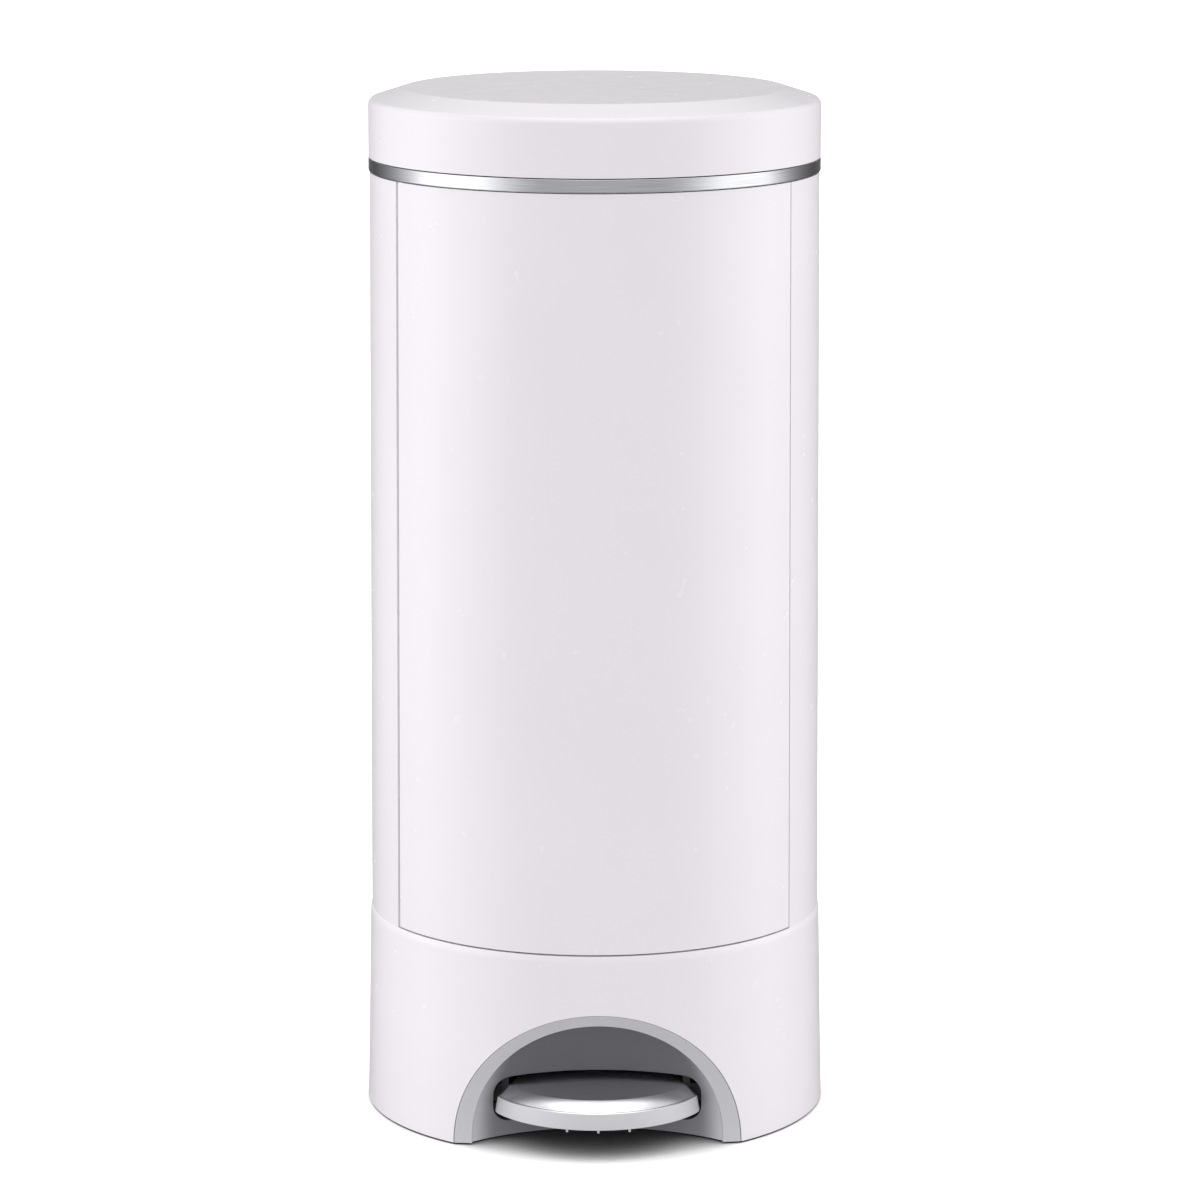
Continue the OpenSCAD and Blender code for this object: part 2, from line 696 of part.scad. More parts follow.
module pedal_lever() {
    paddle_top = pedal_top - cover_wall;
    paddle_half = pedal_neck - bevel_w - part_gap;
    paddle_front = -pedal_reach + 24;
    beam_half = beam_w / 2;
    rib_low = skirt_low - 1;
    eye_r = drive_pin_r + 3.5;
    color(lever_grey) difference() {
        union() {
            cross_pin(pivot_tube_r, pivot_tube_half, -pivot_y, pivot_z);
            // paddle under the cover, with ribs that run back to the pivot tube
            slab(paddle_half, paddle_front + 22, -pivot_y, paddle_top - lever_wall, paddle_top);
            slab(paddle_half - 28, paddle_front, paddle_front + 23, paddle_top - lever_wall, paddle_top);
            for (x = [-1, -0.5, 0.5, 1]) translate([x * (paddle_half - lever_wall / 2) - lever_wall / 2,
                    paddle_front + 22, rib_low])
                cube([lever_wall, -pivot_y - paddle_front - 22, paddle_top - rib_low]);
            // rear beam: a channel open downwards
            rotate_beam() difference() {
                translate([-beam_half, 0, -6]) cube([beam_w, lever_back - 12, 13]);
                translate([-beam_half + lever_wall, pivot_tube_r + 3, -6 - eps])
                    cube([beam_w - 2 * lever_wall, lever_back, 13 - lever_wall]);
            }
            // fork that holds the drive pin
            for (side = [-1, 1]) translate([side * (fork_x + fork_t / 2), drive_y, drive_z]) {
                rotate([0, 90, 0]) cylinder(r = eye_r, h = fork_t, center = true, $fn = pin_fn);
                translate([-fork_t / 2, -22, -eye_r]) cube([fork_t, 22, 2 * eye_r]);
            }
        }
        cross_pin(pivot_pin_r + pin_play, pivot_tube_half + 1, -pivot_y, pivot_z);
        cross_pin(drive_pin_r, link_half + 1, drive_y, drive_z);
        slab(fork_x, rod_y - head_y / 2 - 1, drive_y + 20, drive_z - 20, drive_z + 20);
    }
}

// Places the rear beam along the line from the pivot to the drive pin
module rotate_beam() {
    translate([0, -pivot_y, pivot_z]) rotate([-pedal_swing / 2, 0, 0]) children();
}

module rod_drive_pin() {
    color(steel) cross_pin(drive_pin_r, link_half, drive_y, drive_z);
}

// A flat head with a slot along Y, centred on the path of its pin
module rod_head(z) {
    difference() {
        translate([-rod_w / 2, rod_y - head_y / 2, z - head_z / 2]) cube([rod_w, head_y, head_z]);
        translate([-rod_w / 2 - 1, rod_y, z]) rotate([90, 0, 90]) linear_extrude(rod_w + 2)
            slot_outline(slot_len / 2, -slot_h / 2, slot_h / 2, slot_h / 2 - eps);
    }
}

module push_rod() {
    color(steel) {
        rod_head(drive_z);
        rod_head(crank_z);
        slab(rod_w / 2, rod_y - rod_t / 2, rod_y + rod_t / 2,
             drive_z + head_z / 2 - 1, crank_z - head_z / 2 + 1);
    }
}

module rod_cover() {
    guide_low = shelf_z - 3;
    color(inner_grey) difference() {
        intersection() {
            slab(guide_x + guide_wall, guide_y, far, base_h, shelf_z);
            body_core(base_h, body_top, body_wall);
        }
        slab(guide_x, guide_y + guide_wall, far, base_h - 1, guide_low);
        slab(rod_w / 2 + part_gap, rod_y - rod_t / 2 - part_gap, rod_y + rod_t / 2 + part_gap,
             guide_low - 1, shelf_z + 1);
        // room for the ring that centres the shell
        body_band(rear - 20, rear + 20, base_h - 1, base_h + 6.3, 0, body_wall + 2.7);
    }
}

// ---------------------------------------------------------------- body and door

// A screw boss with a web to the wall behind it
module shell_boss(radius, low) {
    intersection() {
        translate([radius, 0, low]) {
            cylinder(r = body_boss_r, h = body_boss_h, $fn = pin_fn);
            translate([0, -web_t / 2, 0]) cube([far, web_t, body_boss_h]);
        }
        body_core(low, low + body_boss_h, web_sink);
    }
}

module body_shell() {
    notch_z = crank_z - drive_pin_r - 7;
    color(body_white) difference() {
        union() {
            body_band(shell_from, shell_to, base_h, body_top, 0, body_wall);
            // flanges that stiffen the two jambs
            body_band(shell_from, shell_from + flange_a, base_h, body_top, body_wall - 1, lip_depth + 2.5);
            body_band(shell_to - flange_a - 1.5, shell_to - 1.5, base_h, body_top, body_wall - 1, lip_depth);
            // lip that the door closes against
            body_band(free_a - 3.6, shell_from + flange_a, base_h + 8, body_top, lip_depth, lip_depth + 2.5);
            // bosses for the screws, at the top and at the bottom
            for (a = body_screw_a) rotate([0, 0, a]) {
                shell_boss(collar_screw_r, body_top - body_boss_h);
                shell_boss(body_screw_r, base_h);
            }
            // ledges under the shelf
            for (a = [5, 48, 132, 175])
                body_band(a - 3, a + 3, shelf_z - 9, shelf_z, body_wall - 1, body_wall + 7);
        }
        slab(pit_half, 0, far, notch_z, body_top + 1);
        for (a = body_screw_a) {
            rotate([0, 0, a]) translate([collar_screw_r, 0, body_top - body_boss_h - 1])
                cylinder(r = screw_r + 0.2, h = body_boss_h + 2, $fn = pin_fn);
            rotate([0, 0, a]) translate([body_screw_r, 0, base_h - 1])
                cylinder(r = screw_r, h = body_boss_h - 4, $fn = pin_fn);
            // room for the ring of the base
            body_band(a - 4, a + 4, base_h - 1, base_h + 6.3, body_wall - 0.1, body_wall + 2.7);
        }
        for (side = [-1, 1]) translate([side * bracket_screw_x, 0, body_top - bracket_screw_drop])
            rotate([-90, 0, 0]) cylinder(r = screw_r + 0.2, h = far, $fn = pin_fn);
    }
}

module body_screws() {
    color(steel) {
        for (a = body_screw_a) {
            rotate([0, 0, a]) translate([collar_screw_r, 0, body_top - body_boss_h])
                screw(body_boss_h + 5);
            rotate([0, 0, a]) translate([body_screw_r, 0, base_h - deck_t]) screw(14);
        }
    }
}

module door_panel() {
    top_rib = body_top - door_rib_t;
    span = top_rib - door_z;
    rib_depth = body_wall + door_rib_depth;
    // everything runs past both ends, which are then cut flat together
    low = door_z - door_spare;
    high = body_top + door_spare;
    color(body_white) difference() {
        union() {
            body_band(hinge_a, free_a, low, high, 0, body_wall);
            on_hinge_line(low) cylinder(r = bead_r, h = high - low, $fn = pin_fn);
            // ribs, with a pocket for the strike and the magnet
            difference() {
                for (i = [0:door_ribs]) let (z = door_z + span * i / door_ribs)
                    body_band(hinge_a + 3, free_a - 0.3, i == 0 ? low : z,
                              i == door_ribs ? high : z + door_rib_t, body_wall - 1, rib_depth);
                body_band(free_a - 3.6, free_a - flange_a - 0.1, latch_z - latch_half - 1,
                          latch_z + latch_half + 1, body_wall + 0.5, lip_depth + 1);
            }
            for (a = [hinge_a + 2.5, front - 22, front + 20, free_a - flange_a])
                body_band(a, a + flange_a, low, high, body_wall - 1.4, rib_depth - 0.4);
            // block that carries the strike
            body_band(free_a - 3.2, free_a - flange_a / 2, latch_z - latch_half, latch_z + latch_half,
                      body_wall - 0.7, strike_depth);
        }
        for (z = [door_z, body_top]) on_hinge_line(z)
            cylinder(r = door_pin_r, h = 24, center = true, $fn = pin_fn);
        slab(far, -far, far, low - 1, door_z);
        slab(far, -far, far, body_top, high + 1);
    }
}

module door_hinge_pins() {
    color(steel) {
        on_hinge_line(base_h) translate([0, 0, -door_pin_grip])
            cylinder(r = door_pin_r, h = door_pin_grip + door_lift + 11.9, $fn = pin_fn);
        on_hinge_line(body_top) translate([0, 0, -11.9])
            cylinder(r = door_pin_r, h = 11.9 + door_pin_grip, $fn = pin_fn);
    }
}

module door_strike() {
    color(steel) body_band(free_a - 3.1, free_a - flange_a - 0.15, latch_z - latch_half, latch_z + latch_half,
                           strike_depth, strike_depth + strike_t);
}

module door_magnet() {
    color(rubber_grey) body_band(free_a - 3.1, free_a - flange_a - 0.3, latch_z - latch_half,
                                 latch_z + latch_half, lip_depth - magnet_t, lip_depth);
}

module film_cutter() {
    depth = body_wall + door_rib_depth;
    color(lever_grey) difference() {
        body_band(front - cutter_half_a, front + cutter_half_a, cutter_z, cutter_z + 26,
                  body_wall, depth + 8);
        // throat that the film slides into
        body_band(front - cutter_half_a + 2, front + cutter_half_a + 1, cutter_z + 11, cutter_z + 15,
                  body_wall + 4, depth + 9);
        // slit that holds the blade
        body_band(front - cutter_half_a + 1, front - cutter_half_a + 5, cutter_z + 4, cutter_z + 22,
                  depth - 2, depth - 1.2);
    }
}

module cutter_blade() {
    depth = body_wall + door_rib_depth;
    color(steel) body_band(front - cutter_half_a + 1, front - cutter_half_a + 5, cutter_z + 4, cutter_z + 22,
                           depth - 2, depth - 1.2);
}

// ---------------------------------------------------------------- collar and ring

module top_collar() {
    plate_low = ring_top - collar_t;
    color(body_white) difference() {
        union() {
            ring(collar_r, collar_in_r, plate_low, ring_top);
            ring(collar_r, collar_r - collar_t, collar_low, ring_top);
            ring(collar_in_r + collar_t, collar_in_r, collar_low - 6, ring_top);
            for (i = [0:collar_ribs - 1]) rotate([0, 0, (i + 0.5) * 360 / collar_ribs])
                translate([collar_in_r + 1, -0.9, collar_low])
                    cube([collar_r - collar_in_r - 2, 1.8, ring_h - 1]);
            for (a = body_screw_a) rotate([0, 0, a]) translate([collar_screw_r, 0, body_top])
                cylinder(r = 4.5, h = plate_low - body_top + 1, $fn = pin_fn);
            // seat of the door's upper pin
            intersection() {
                rotate([0, 0, hinge_a]) translate([body_top_r - bead_r - 1, 0, collar_low])
                    cylinder(r = 4.5, h = ring_top - collar_low, $fn = pin_fn);
                cylinder(r = collar_r, h = far * 2);
            }
        }
        translate([-pit_half, pit_y, body_top - 20]) cube([2 * pit_half, 60, 60]);
        on_hinge_line(body_top) cylinder(r = door_pin_r + pin_play, h = door_pin_grip + 0.5, $fn = pin_fn);
        for (a = body_screw_a) rotate([0, 0, a]) translate([collar_screw_r, 0, body_top - 1])
            cylinder(r = screw_r, h = 7, $fn = pin_fn);
    }
}

module trim_ring() {
    round_r = 0.4;
    bracket_a = asin((arm_half_w + cheek_w + 2) / ring_r);
    color(ring_silver) rotate([0, 0, rear + bracket_a]) rotate_extrude(angle = 360 - 2 * bracket_a, $fn = 180)
        polygon(concat([[collar_r, ring_z]],
            arc_points([ring_r - round_r, ring_z + round_r], round_r, -90, 0, 4),
            arc_points([ring_r - round_r, ring_top - round_r], round_r, 0, 90, 4),
            [[collar_r, ring_top]]));
}

// ---------------------------------------------------------------- lid hinge

// Side view of the bracket, as [y, z]
module bracket_side() {
    low = body_top - bracket_screw_drop - 10;
    back = hinge_y + knuckle_r;
    translate([hinge_y, hinge_z]) circle(r = knuckle_r, $fn = pin_fn * 2);
    polygon([[body_top_r - 12, low], [body_top_r + 3, low], [back, hinge_z - 14], [back, hinge_z],
             [hinge_y, hinge_z], [hinge_y - knuckle_r, ring_top - 1.5], [body_top_r - 12, ring_top - 1.5]]);
}

module bracket_slice(half) {
    translate([-half, 0, 0]) rotate([90, 0, 90]) linear_extrude(2 * half) bracket_side();
}

module hinge_bracket() {
    outer = arm_half_w + 0.5 + cheek_w;
    cowl_t = 2.5;
    color(body_white) difference() {
        bracket_slice(outer);
        // room between the cheeks, behind a thin cowl
        difference() {
            slab(arm_half_w + 0.5, 0, far, body_top - 28, far * 2);
            difference() {
                bracket_slice(far);
                translate([0, -cowl_t, 0]) bracket_slice(far);
                slab(far, 0, far, hinge_z - knuckle_r - 2.5, far * 2);
            }
        }
        body_core(base_h, body_top, 0);
        cylinder(r = collar_r, h = far * 2);
        cross_pin(hinge_pin_r, outer + 1, hinge_y, hinge_z);
        for (side = [-1, 1]) translate([side * bracket_screw_x, 0, body_top - bracket_screw_drop])
            rotate([-90, 0, 0]) cylinder(r = screw_r, h = body_top_r + 6, $fn = pin_fn);
    }
}

module lid_hinge_pin() {
    half = arm_half_w + cheek_w + 1.5;
    color(steel) union() {
        cross_pin(hinge_pin_r, half, hinge_y, hinge_z);
        for (side = [-1, 1]) translate([side * half, hinge_y, hinge_z]) rotate([0, side * 90, 0])
            cylinder(r1 = hinge_pin_r + 1, r2 = hinge_pin_r - 0.5, h = 1, $fn = pin_fn);
    }
}

// Side view of one crank arm, from the hinge axis to the pin
module crank_side() {
    end_r = drive_pin_r + 2.5;
    across = [sin(half_swing), -cos(half_swing)];
    hub = [hinge_y, hinge_z];
    tip = [crank_y, crank_z];
    translate(hub) circle(r = knuckle_r, $fn = pin_fn * 2);
    translate(tip) circle(r = end_r, $fn = pin_fn);
    polygon([hub + across * (knuckle_r - 1), tip + across * end_r,
             tip - across * end_r, hub - across * (knuckle_r - 1)]);
}

module lid_hinge_arm() {
    web_low = ring_top + flange_t + 0.6;
    color(inner_grey) difference() {
        union() {
            for (side = [-1, 1]) {
                translate([side > 0 ? fork_x : -arm_half_w, hinge_y, hinge_z]) rotate([0, 90, 0])
                    cylinder(r = knuckle_r, h = arm_half_w - fork_x, $fn = pin_fn * 2);
                translate([side > 0 ? fork_x : -link_half, 0, 0]) rotate([90, 0, 90])
                    linear_extrude(fork_t) crank_side();
                // web through the notch in the lid
                translate([side > 0 ? link_half - 1 : -arm_half_w, rod_y, web_low])
                    cube([arm_half_w - link_half + 1, hinge_y - rod_y, 5]);
            }
            // pad under the inner panel
            slab(arm_half_w, rod_y - 7, rod_y + 5, web_low, liner_z);
        }
        cross_pin(hinge_pin_r + pin_play, arm_half_w + 1, hinge_y, hinge_z);
        cross_pin(drive_pin_r, link_half + 1, crank_y, crank_z);
        for (side = [-1, 1]) translate([side * arm_screw[0], arm_screw[1], 0])
            cylinder(r = screw_r + 0.2, h = far * 2, $fn = pin_fn);
    }
}

module crank_pin() {
    color(steel) cross_pin(drive_pin_r, link_half, crank_y, crank_z);
}

// ---------------------------------------------------------------- lid

// Section of the lid's outer face, from its lower edge to the centre of its top
function lid_face(grow) =
    let (slope = atan(lid_bevel_h / (lid_r - lid_flat_r)),
         edge_z = lid_top - lid_bevel_h,
         tangent = lid_edge_r * tan((90 - slope) / 2),
         centre = [lid_r - lid_edge_r, edge_z - tangent])
    concat([[lid_r - grow, lid_z]],
        arc_points(centre, lid_edge_r - grow, 0, 90 - slope, 8),
        [[lid_flat_r + 0.6 - grow * tan(slope / 2), lid_top - grow - 0.2],
         [lid_flat_r - 0.6 - grow * tan(slope / 2), lid_top - grow], [0, lid_top - grow]]);

module lid_cover() {
    outer = lid_face(0);
    inner = lid_face(min(lid_wall, lid_edge_r - 0.5));
    color(body_white) difference() {
        union() {
            rotate_extrude($fn = 180)
                polygon(concat(outer, [for (i = [len(inner) - 1:-1:1]) inner[i]], [[lid_in_r, lid_z]]));
            // bosses for the screws of the inner panel
            for (a = lid_boss_a) rotate([0, 0, a]) translate([lid_boss_place, 0, liner_z + liner_t])
                cylinder(r = lid_boss_r, h = lid_top - lid_wall / 2 - liner_z - liner_t, $fn = pin_fn);
            for (side = [-1, 1]) translate([side * arm_screw[0] - 4, arm_screw[1] - 4, liner_z + liner_t])
                cube([8, lid_in_r + 0.4 - arm_screw[1] + 4, 8]);
            // ledge that the rim of the inner panel seats on
            ring(lid_in_r + 1, lid_in_r - 1.5, liner_z + liner_t, liner_z + liner_t + 3);
        }
        slab(arm_half_w + 1, 0, far, lid_z - 1, liner_z - 0.6);
        for (a = lid_boss_a) rotate([0, 0, a]) translate([lid_boss_place, 0, liner_z])
            cylinder(r = screw_r, h = liner_t + lid_screw_l + 1.5, $fn = pin_fn);
        for (side = [-1, 1]) translate([side * arm_screw[0], arm_screw[1], liner_z])
            cylinder(r = screw_r, h = 9, $fn = pin_fn);
    }
}

module lid_liner() {
    groove_low = rim_top + 1.2;
    color(body_white) difference() {
        union() {
            ring(lid_in_r - 0.3, 0, liner_z, liner_z + liner_t);
            ring(seal_out + groove_wall, seal_out, groove_low, liner_z + eps);
            ring(seal_in, seal_in - groove_wall, groove_low, liner_z + eps);
            // raised panel inside the seal
            ring(seal_in - 16, 0, liner_z - 1.2, liner_z + eps);
        }
        for (a = lid_boss_a) rotate([0, 0, a]) translate([lid_boss_place, 0, 0])
            cylinder(r = screw_r + 0.2, h = far * 2, $fn = pin_fn);
        for (side = [-1, 1]) translate([side * arm_screw[0], arm_screw[1], 0])
            cylinder(r = screw_r + 0.2, h = far * 2, $fn = pin_fn);
    }
}

module lid_seal() {
    low = rim_top + 0.3;
    middle = (seal_in + seal_out) / 2;
    color(rubber_grey) rotate_extrude()
        polygon([[seal_in, liner_z], [seal_in, low + 1.5], [middle - 1.2, low], [middle + 1.2, low],
                 [seal_out, low + 1.5], [seal_out, liner_z]]);
}

module lid_screws() {
    web_low = ring_top + flange_t + 0.6;
    color(steel) {
        for (a = lid_boss_a) rotate([0, 0, a]) translate([lid_boss_place, 0, liner_z])
            screw(liner_t + lid_screw_l);
        for (side = [-1, 1]) translate([side * arm_screw[0], arm_screw[1], web_low])
            screw(liner_z + liner_t + 6 - web_low);
    }
}

// ---------------------------------------------------------------- funnel and flaps

module hopper() {
    outside = throat_r + funnel_wall;
    slant = 3.2;
    cone_k = (funnel_r - throat_r) / cone_h;
    lock_z = ring_top - 2.4;
    color(inner_grey) difference() {
        union() {
            rotate_extrude($fn = 180) polygon([
                [throat_r, hopper_z], [throat_r, cone_z], [funnel_r, cone_z + cone_h],
                [funnel_r, rim_top - 1], [funnel_r + 1, rim_top],
                [rim_out_r - 1, rim_top], [rim_out_r, rim_top - 1],
                [rim_out_r, ring_top + flange_t], [flange_r, ring_top + flange_t], [flange_r, ring_top],
                [collar_in_r - 0.4, ring_top], [collar_in_r - 0.4, lock_z],
                [throat_r + cone_k * (lock_z - cone_z) + slant, lock_z],
                [throat_r + slant, cone_z], [outside, cone_z - 1], [outside, hopper_z]]);
            for (side = [-1, 1], end = [-1, 1]) flap_lug(side, end);
        }
        for (side = [-1, 1]) translate([side * flap_hinge_x, 0, flap_z]) rotate([90, 0, 0])
            cylinder(r = flap_pin_r, h = 2 * (lug_y + lug_t) + 2, center = true, $fn = pin_fn);
        translate([0, 0, hopper_z]) cylinder(r = throat_r, h = throat_h, $fn = 180);
    }
}

// A lug that hangs outside the throat and holds one end of a flap's pin
module flap_lug(side, end) {
    y0 = end > 0 ? lug_y : -lug_y - lug_t;
    root = throat_r - 4;
    reach = flap_hinge_x + 4;
    clear = flap_hinge_x - 3.4;
    translate([side > 0 ? root : -reach, y0, hopper_z]) cube([reach - root, lug_t, 11]);
    translate([side > 0 ? clear : -reach, y0, flap_z - 3.9]) cube([reach - clear, lug_t, 5 + flap_gap + 3]);
}

module flap_pins() {
    color(steel) for (side = [-1, 1]) translate([side * flap_hinge_x, 0, flap_z]) rotate([90, 0, 0])
        cylinder(r = flap_pin_r, h = 2 * (lug_y + lug_t), center = true, $fn = pin_fn);
}

// The flap on the +X side, closed
module flap() {
    rib_h = 5;
    difference() {
        union() {
            translate([0, 0, flap_top - flap_t]) intersection() {
                cylinder(r = flap_r, h = flap_t, $fn = 180);
                translate([part_gap, -far / 2, -1]) cube([far, far, far]);
            }
            translate([flap_hinge_x, 0, flap_z]) rotate([90, 0, 0])
                cylinder(r = flap_barrel_r, h = 2 * barrel_half, center = true, $fn = pin_fn);
            translate([flap_r - 6, -barrel_half, flap_top - flap_t])
                cube([flap_hinge_x - flap_r + 6, 2 * barrel_half, flap_t]);
            // ribs under the flap
            for (y = [-flap_rib_y, 0, flap_rib_y]) translate([6, y - 1, flap_top - flap_t - rib_h])
                cube([flap_r - 30, 2, rib_h + eps]);
            translate([6, -flap_rib_half, flap_top - flap_t - rib_h])
                cube([2, 2 * flap_rib_half, rib_h + eps]);
        }
        translate([flap_hinge_x, 0, flap_z]) rotate([90, 0, 0])
            cylinder(r = flap_pin_r + pin_play, h = far, center = true, $fn = pin_fn);
        // gap for the spring
        translate([flap_hinge_x - 4.2, -spring_half, flap_z - 6]) cube([12, 2 * spring_half, 12]);
    }
}

module flap_left() {
    color(inner_grey) mirror([1, 0, 0]) flap();
}

module flap_right() {
    color(inner_grey) flap();
}

// The spring's wire: one unbroken tube wound round the pin
function coil_ring(turn, coil_r, pitch, sides) =
    let (a = 360 * turn, centre = [coil_r * cos(a), pitch * turn, coil_r * sin(a)])
    [for (k = [0:sides - 1]) let (b = 360 * k / sides)
        centre + wire_r * [cos(b) * cos(a), sin(b), cos(b) * sin(a)]];

module flap_spring() {
    sides = 6;
    steps = 10;
    coil_r = flap_pin_r + pin_play + wire_r + 0.35;
    pitch = (2 * spring_half - 4) / spring_coils;
    count = steps * spring_coils;
    rings = [for (i = [0:count]) coil_ring(i / steps, coil_r, pitch, sides)];
    points = [for (r = rings) each r];
    walls = [for (i = [0:count - 1], k = [0:sides - 1])
        let (a = i * sides + k, b = i * sides + (k + 1) % sides)
        each [[a, b, b + sides], [a, b + sides, a + sides]]];
    first = [for (k = [sides - 1:-1:0]) k];
    last = [for (k = [0:sides - 1]) count * sides + k];
    translate([flap_hinge_x, -pitch * spring_coils / 2, flap_z])
        polyhedron(points, concat(walls, [first, last]), convexity = 10);
}

module spring_left() {
    color(steel) mirror([1, 0, 0]) flap_spring();
}

module spring_right() {
    color(steel) flap_spring();
}

// ---------------------------------------------------------------- cassette

module cassette_shelf() {
    wall_r = cassette_out_r + 0.6;
    color(inner_grey) difference() {
        union() {
            ring(shelf_out_r, shelf_in_r, shelf_z, shelf_z + shelf_t);
            ring(wall_r + 2, wall_r, shelf_z, shelf_z + shelf_t + 9);
            body_band(shell_from + 4, shell_to - 6, shelf_z, shelf_z + shelf_t, body_wall,
                      body_r(shelf_z) - shelf_out_r + 1.7);
        }
        slab(rod_w / 2 + 3, guide_y, far, shelf_z - 1, shelf_z + 30);
    }
}

module film_cassette() {
    low = shelf_z + shelf_t;
    round_r = 3;
    lip = 3.5;
    color(film_blue) rotate_extrude() difference() {
        polygon(concat([[cassette_in_r, low], [cassette_out_r, low]],
            arc_points([cassette_out_r - round_r, low + cassette_h - round_r], round_r, 0, 90, 5),
            arc_points([cassette_in_r + round_r, low + cassette_h - round_r], round_r, 90, 180, 5)));
        translate([cassette_in_r - 1, low + lip])
            square([cassette_out_r - cassette_in_r - 6, cassette_h - 2 * lip - 4]);
    }
}

base_housing();
pedal_well();
base_plate();
rubber_feet();
base_screws();
pedal_pivot_pin();
pedal_cover();
pedal_lever();
rod_drive_pin();
push_rod();
rod_cover();
body_shell();
body_screws();
door_panel();
door_hinge_pins();
door_strike();
door_magnet();
film_cutter();
cutter_blade();
top_collar();
trim_ring();
hinge_bracket();
lid_hinge_pin();
lid_hinge_arm();
crank_pin();
lid_cover();
lid_liner();
lid_seal();
lid_screws();
hopper();
flap_pins();
flap_left();
flap_right();
spring_left();
spring_right();
cassette_shelf();
film_cassette();
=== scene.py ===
# %% [markdown]
# # A step-on nappy bin, dressed for its picture
# The bin arrives as a set of CAD pieces that already have their true size and place. Blender adds
# what the eye sees: the gloss of the white moulding, the brushing of the trim ring, the soft shine
# of the pedal, and the light of a small studio. Lengths are metres, +Z is up and the pedal is at
# -Y. Numbers in millimetres are turned to metres by MM.

# %% Load the frame
import json
import math

import bmesh
import bpy
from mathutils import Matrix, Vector


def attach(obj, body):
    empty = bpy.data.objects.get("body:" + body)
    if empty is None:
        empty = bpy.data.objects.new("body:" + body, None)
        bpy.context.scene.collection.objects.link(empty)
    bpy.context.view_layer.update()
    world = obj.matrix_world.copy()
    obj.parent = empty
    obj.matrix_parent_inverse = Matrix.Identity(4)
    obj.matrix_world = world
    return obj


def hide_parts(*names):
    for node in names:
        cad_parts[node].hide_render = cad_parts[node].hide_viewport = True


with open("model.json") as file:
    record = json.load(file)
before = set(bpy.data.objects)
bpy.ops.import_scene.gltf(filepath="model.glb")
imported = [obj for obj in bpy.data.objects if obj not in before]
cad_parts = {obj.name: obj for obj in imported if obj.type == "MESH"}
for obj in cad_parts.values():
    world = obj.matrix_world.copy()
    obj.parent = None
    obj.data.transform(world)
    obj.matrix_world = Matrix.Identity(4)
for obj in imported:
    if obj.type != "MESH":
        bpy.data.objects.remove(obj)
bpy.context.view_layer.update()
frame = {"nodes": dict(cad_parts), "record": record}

MM = 0.001

# %% [markdown]
# ## Colours and nodes
# Colours are written as the hex values that a picture shows. Blender works in linear light, so one
# function turns them. A second function adds a shader node, sets its values and makes its links,
# which keeps each material below down to a few readable lines. The third starts a material: its
# shader, its output and the object coordinates that every pattern reads, so that a pattern stays
# where it is on the piece when the lid or the door swings.

# %% Helpers for materials
def linear(hex_colour, alpha=1.0):
    channels = [int(hex_colour[i:i + 2], 16) / 255 for i in (1, 3, 5)]
    light = [c / 12.92 if c <= 0.04045 else ((c + 0.055) / 1.055) ** 2.4 for c in channels]
    return light + [alpha]


def add_node(tree, kind, values=None, links=None, stops=(), **settings):
    """Adds a node. values are set on its input sockets, links join them to outputs, and stops
    are the places and colours of a colour ramp."""
    made = tree.nodes.new(kind)
    for key, value in settings.items():
        setattr(made, key, value)
    for key, value in (values or {}).items():
        made.inputs[key].default_value = value
    for key, source in (links or {}).items():
        tree.links.new(source, made.inputs[key])
    for position, colour in stops[1:-1]:
        made.color_ramp.elements.new(position)
    for stop, (position, colour) in zip(made.color_ramp.elements if stops else (), stops):
        stop.position, stop.color = position, colour
    return made


def new_material(name):
    """An empty node material, its tree, its shader and its object coordinates."""
    material = bpy.data.materials.new(name)
    material.use_nodes = True
    tree = material.node_tree
    tree.nodes.clear()
    shader = add_node(tree, "ShaderNodeBsdfPrincipled")
    add_node(tree, "ShaderNodeOutputMaterial", links={"Surface": shader.outputs[0]})
    place = add_node(tree, "ShaderNodeTexCoord").outputs["Object"]
    print("material", name)
    return material, tree, shader, place


# %% [markdown]
# ## Gloss white ABS
# The body, the door, the lid and the base are ABS, injection moulded in a polished tool. Such a
# surface is a clear even white with a faint cool cast, and its gloss is broken only by the slow
# ripple that the plastic takes as it shrinks, a few centimetres from crest to crest. A noise that
# wide bends the reflections a little, and a second, finer one varies the roughness, as wiping
# does. The satin grey polypropylene inside the bin and the nylon of the lever are moulded too, so
# they share the function, with a duller surface.

# %% Gloss white ABS
TONE_MM, RIPPLE_MM, WIPE_MM = 110, 36, 17   # drift of the tone, shrink ripple, wiping marks


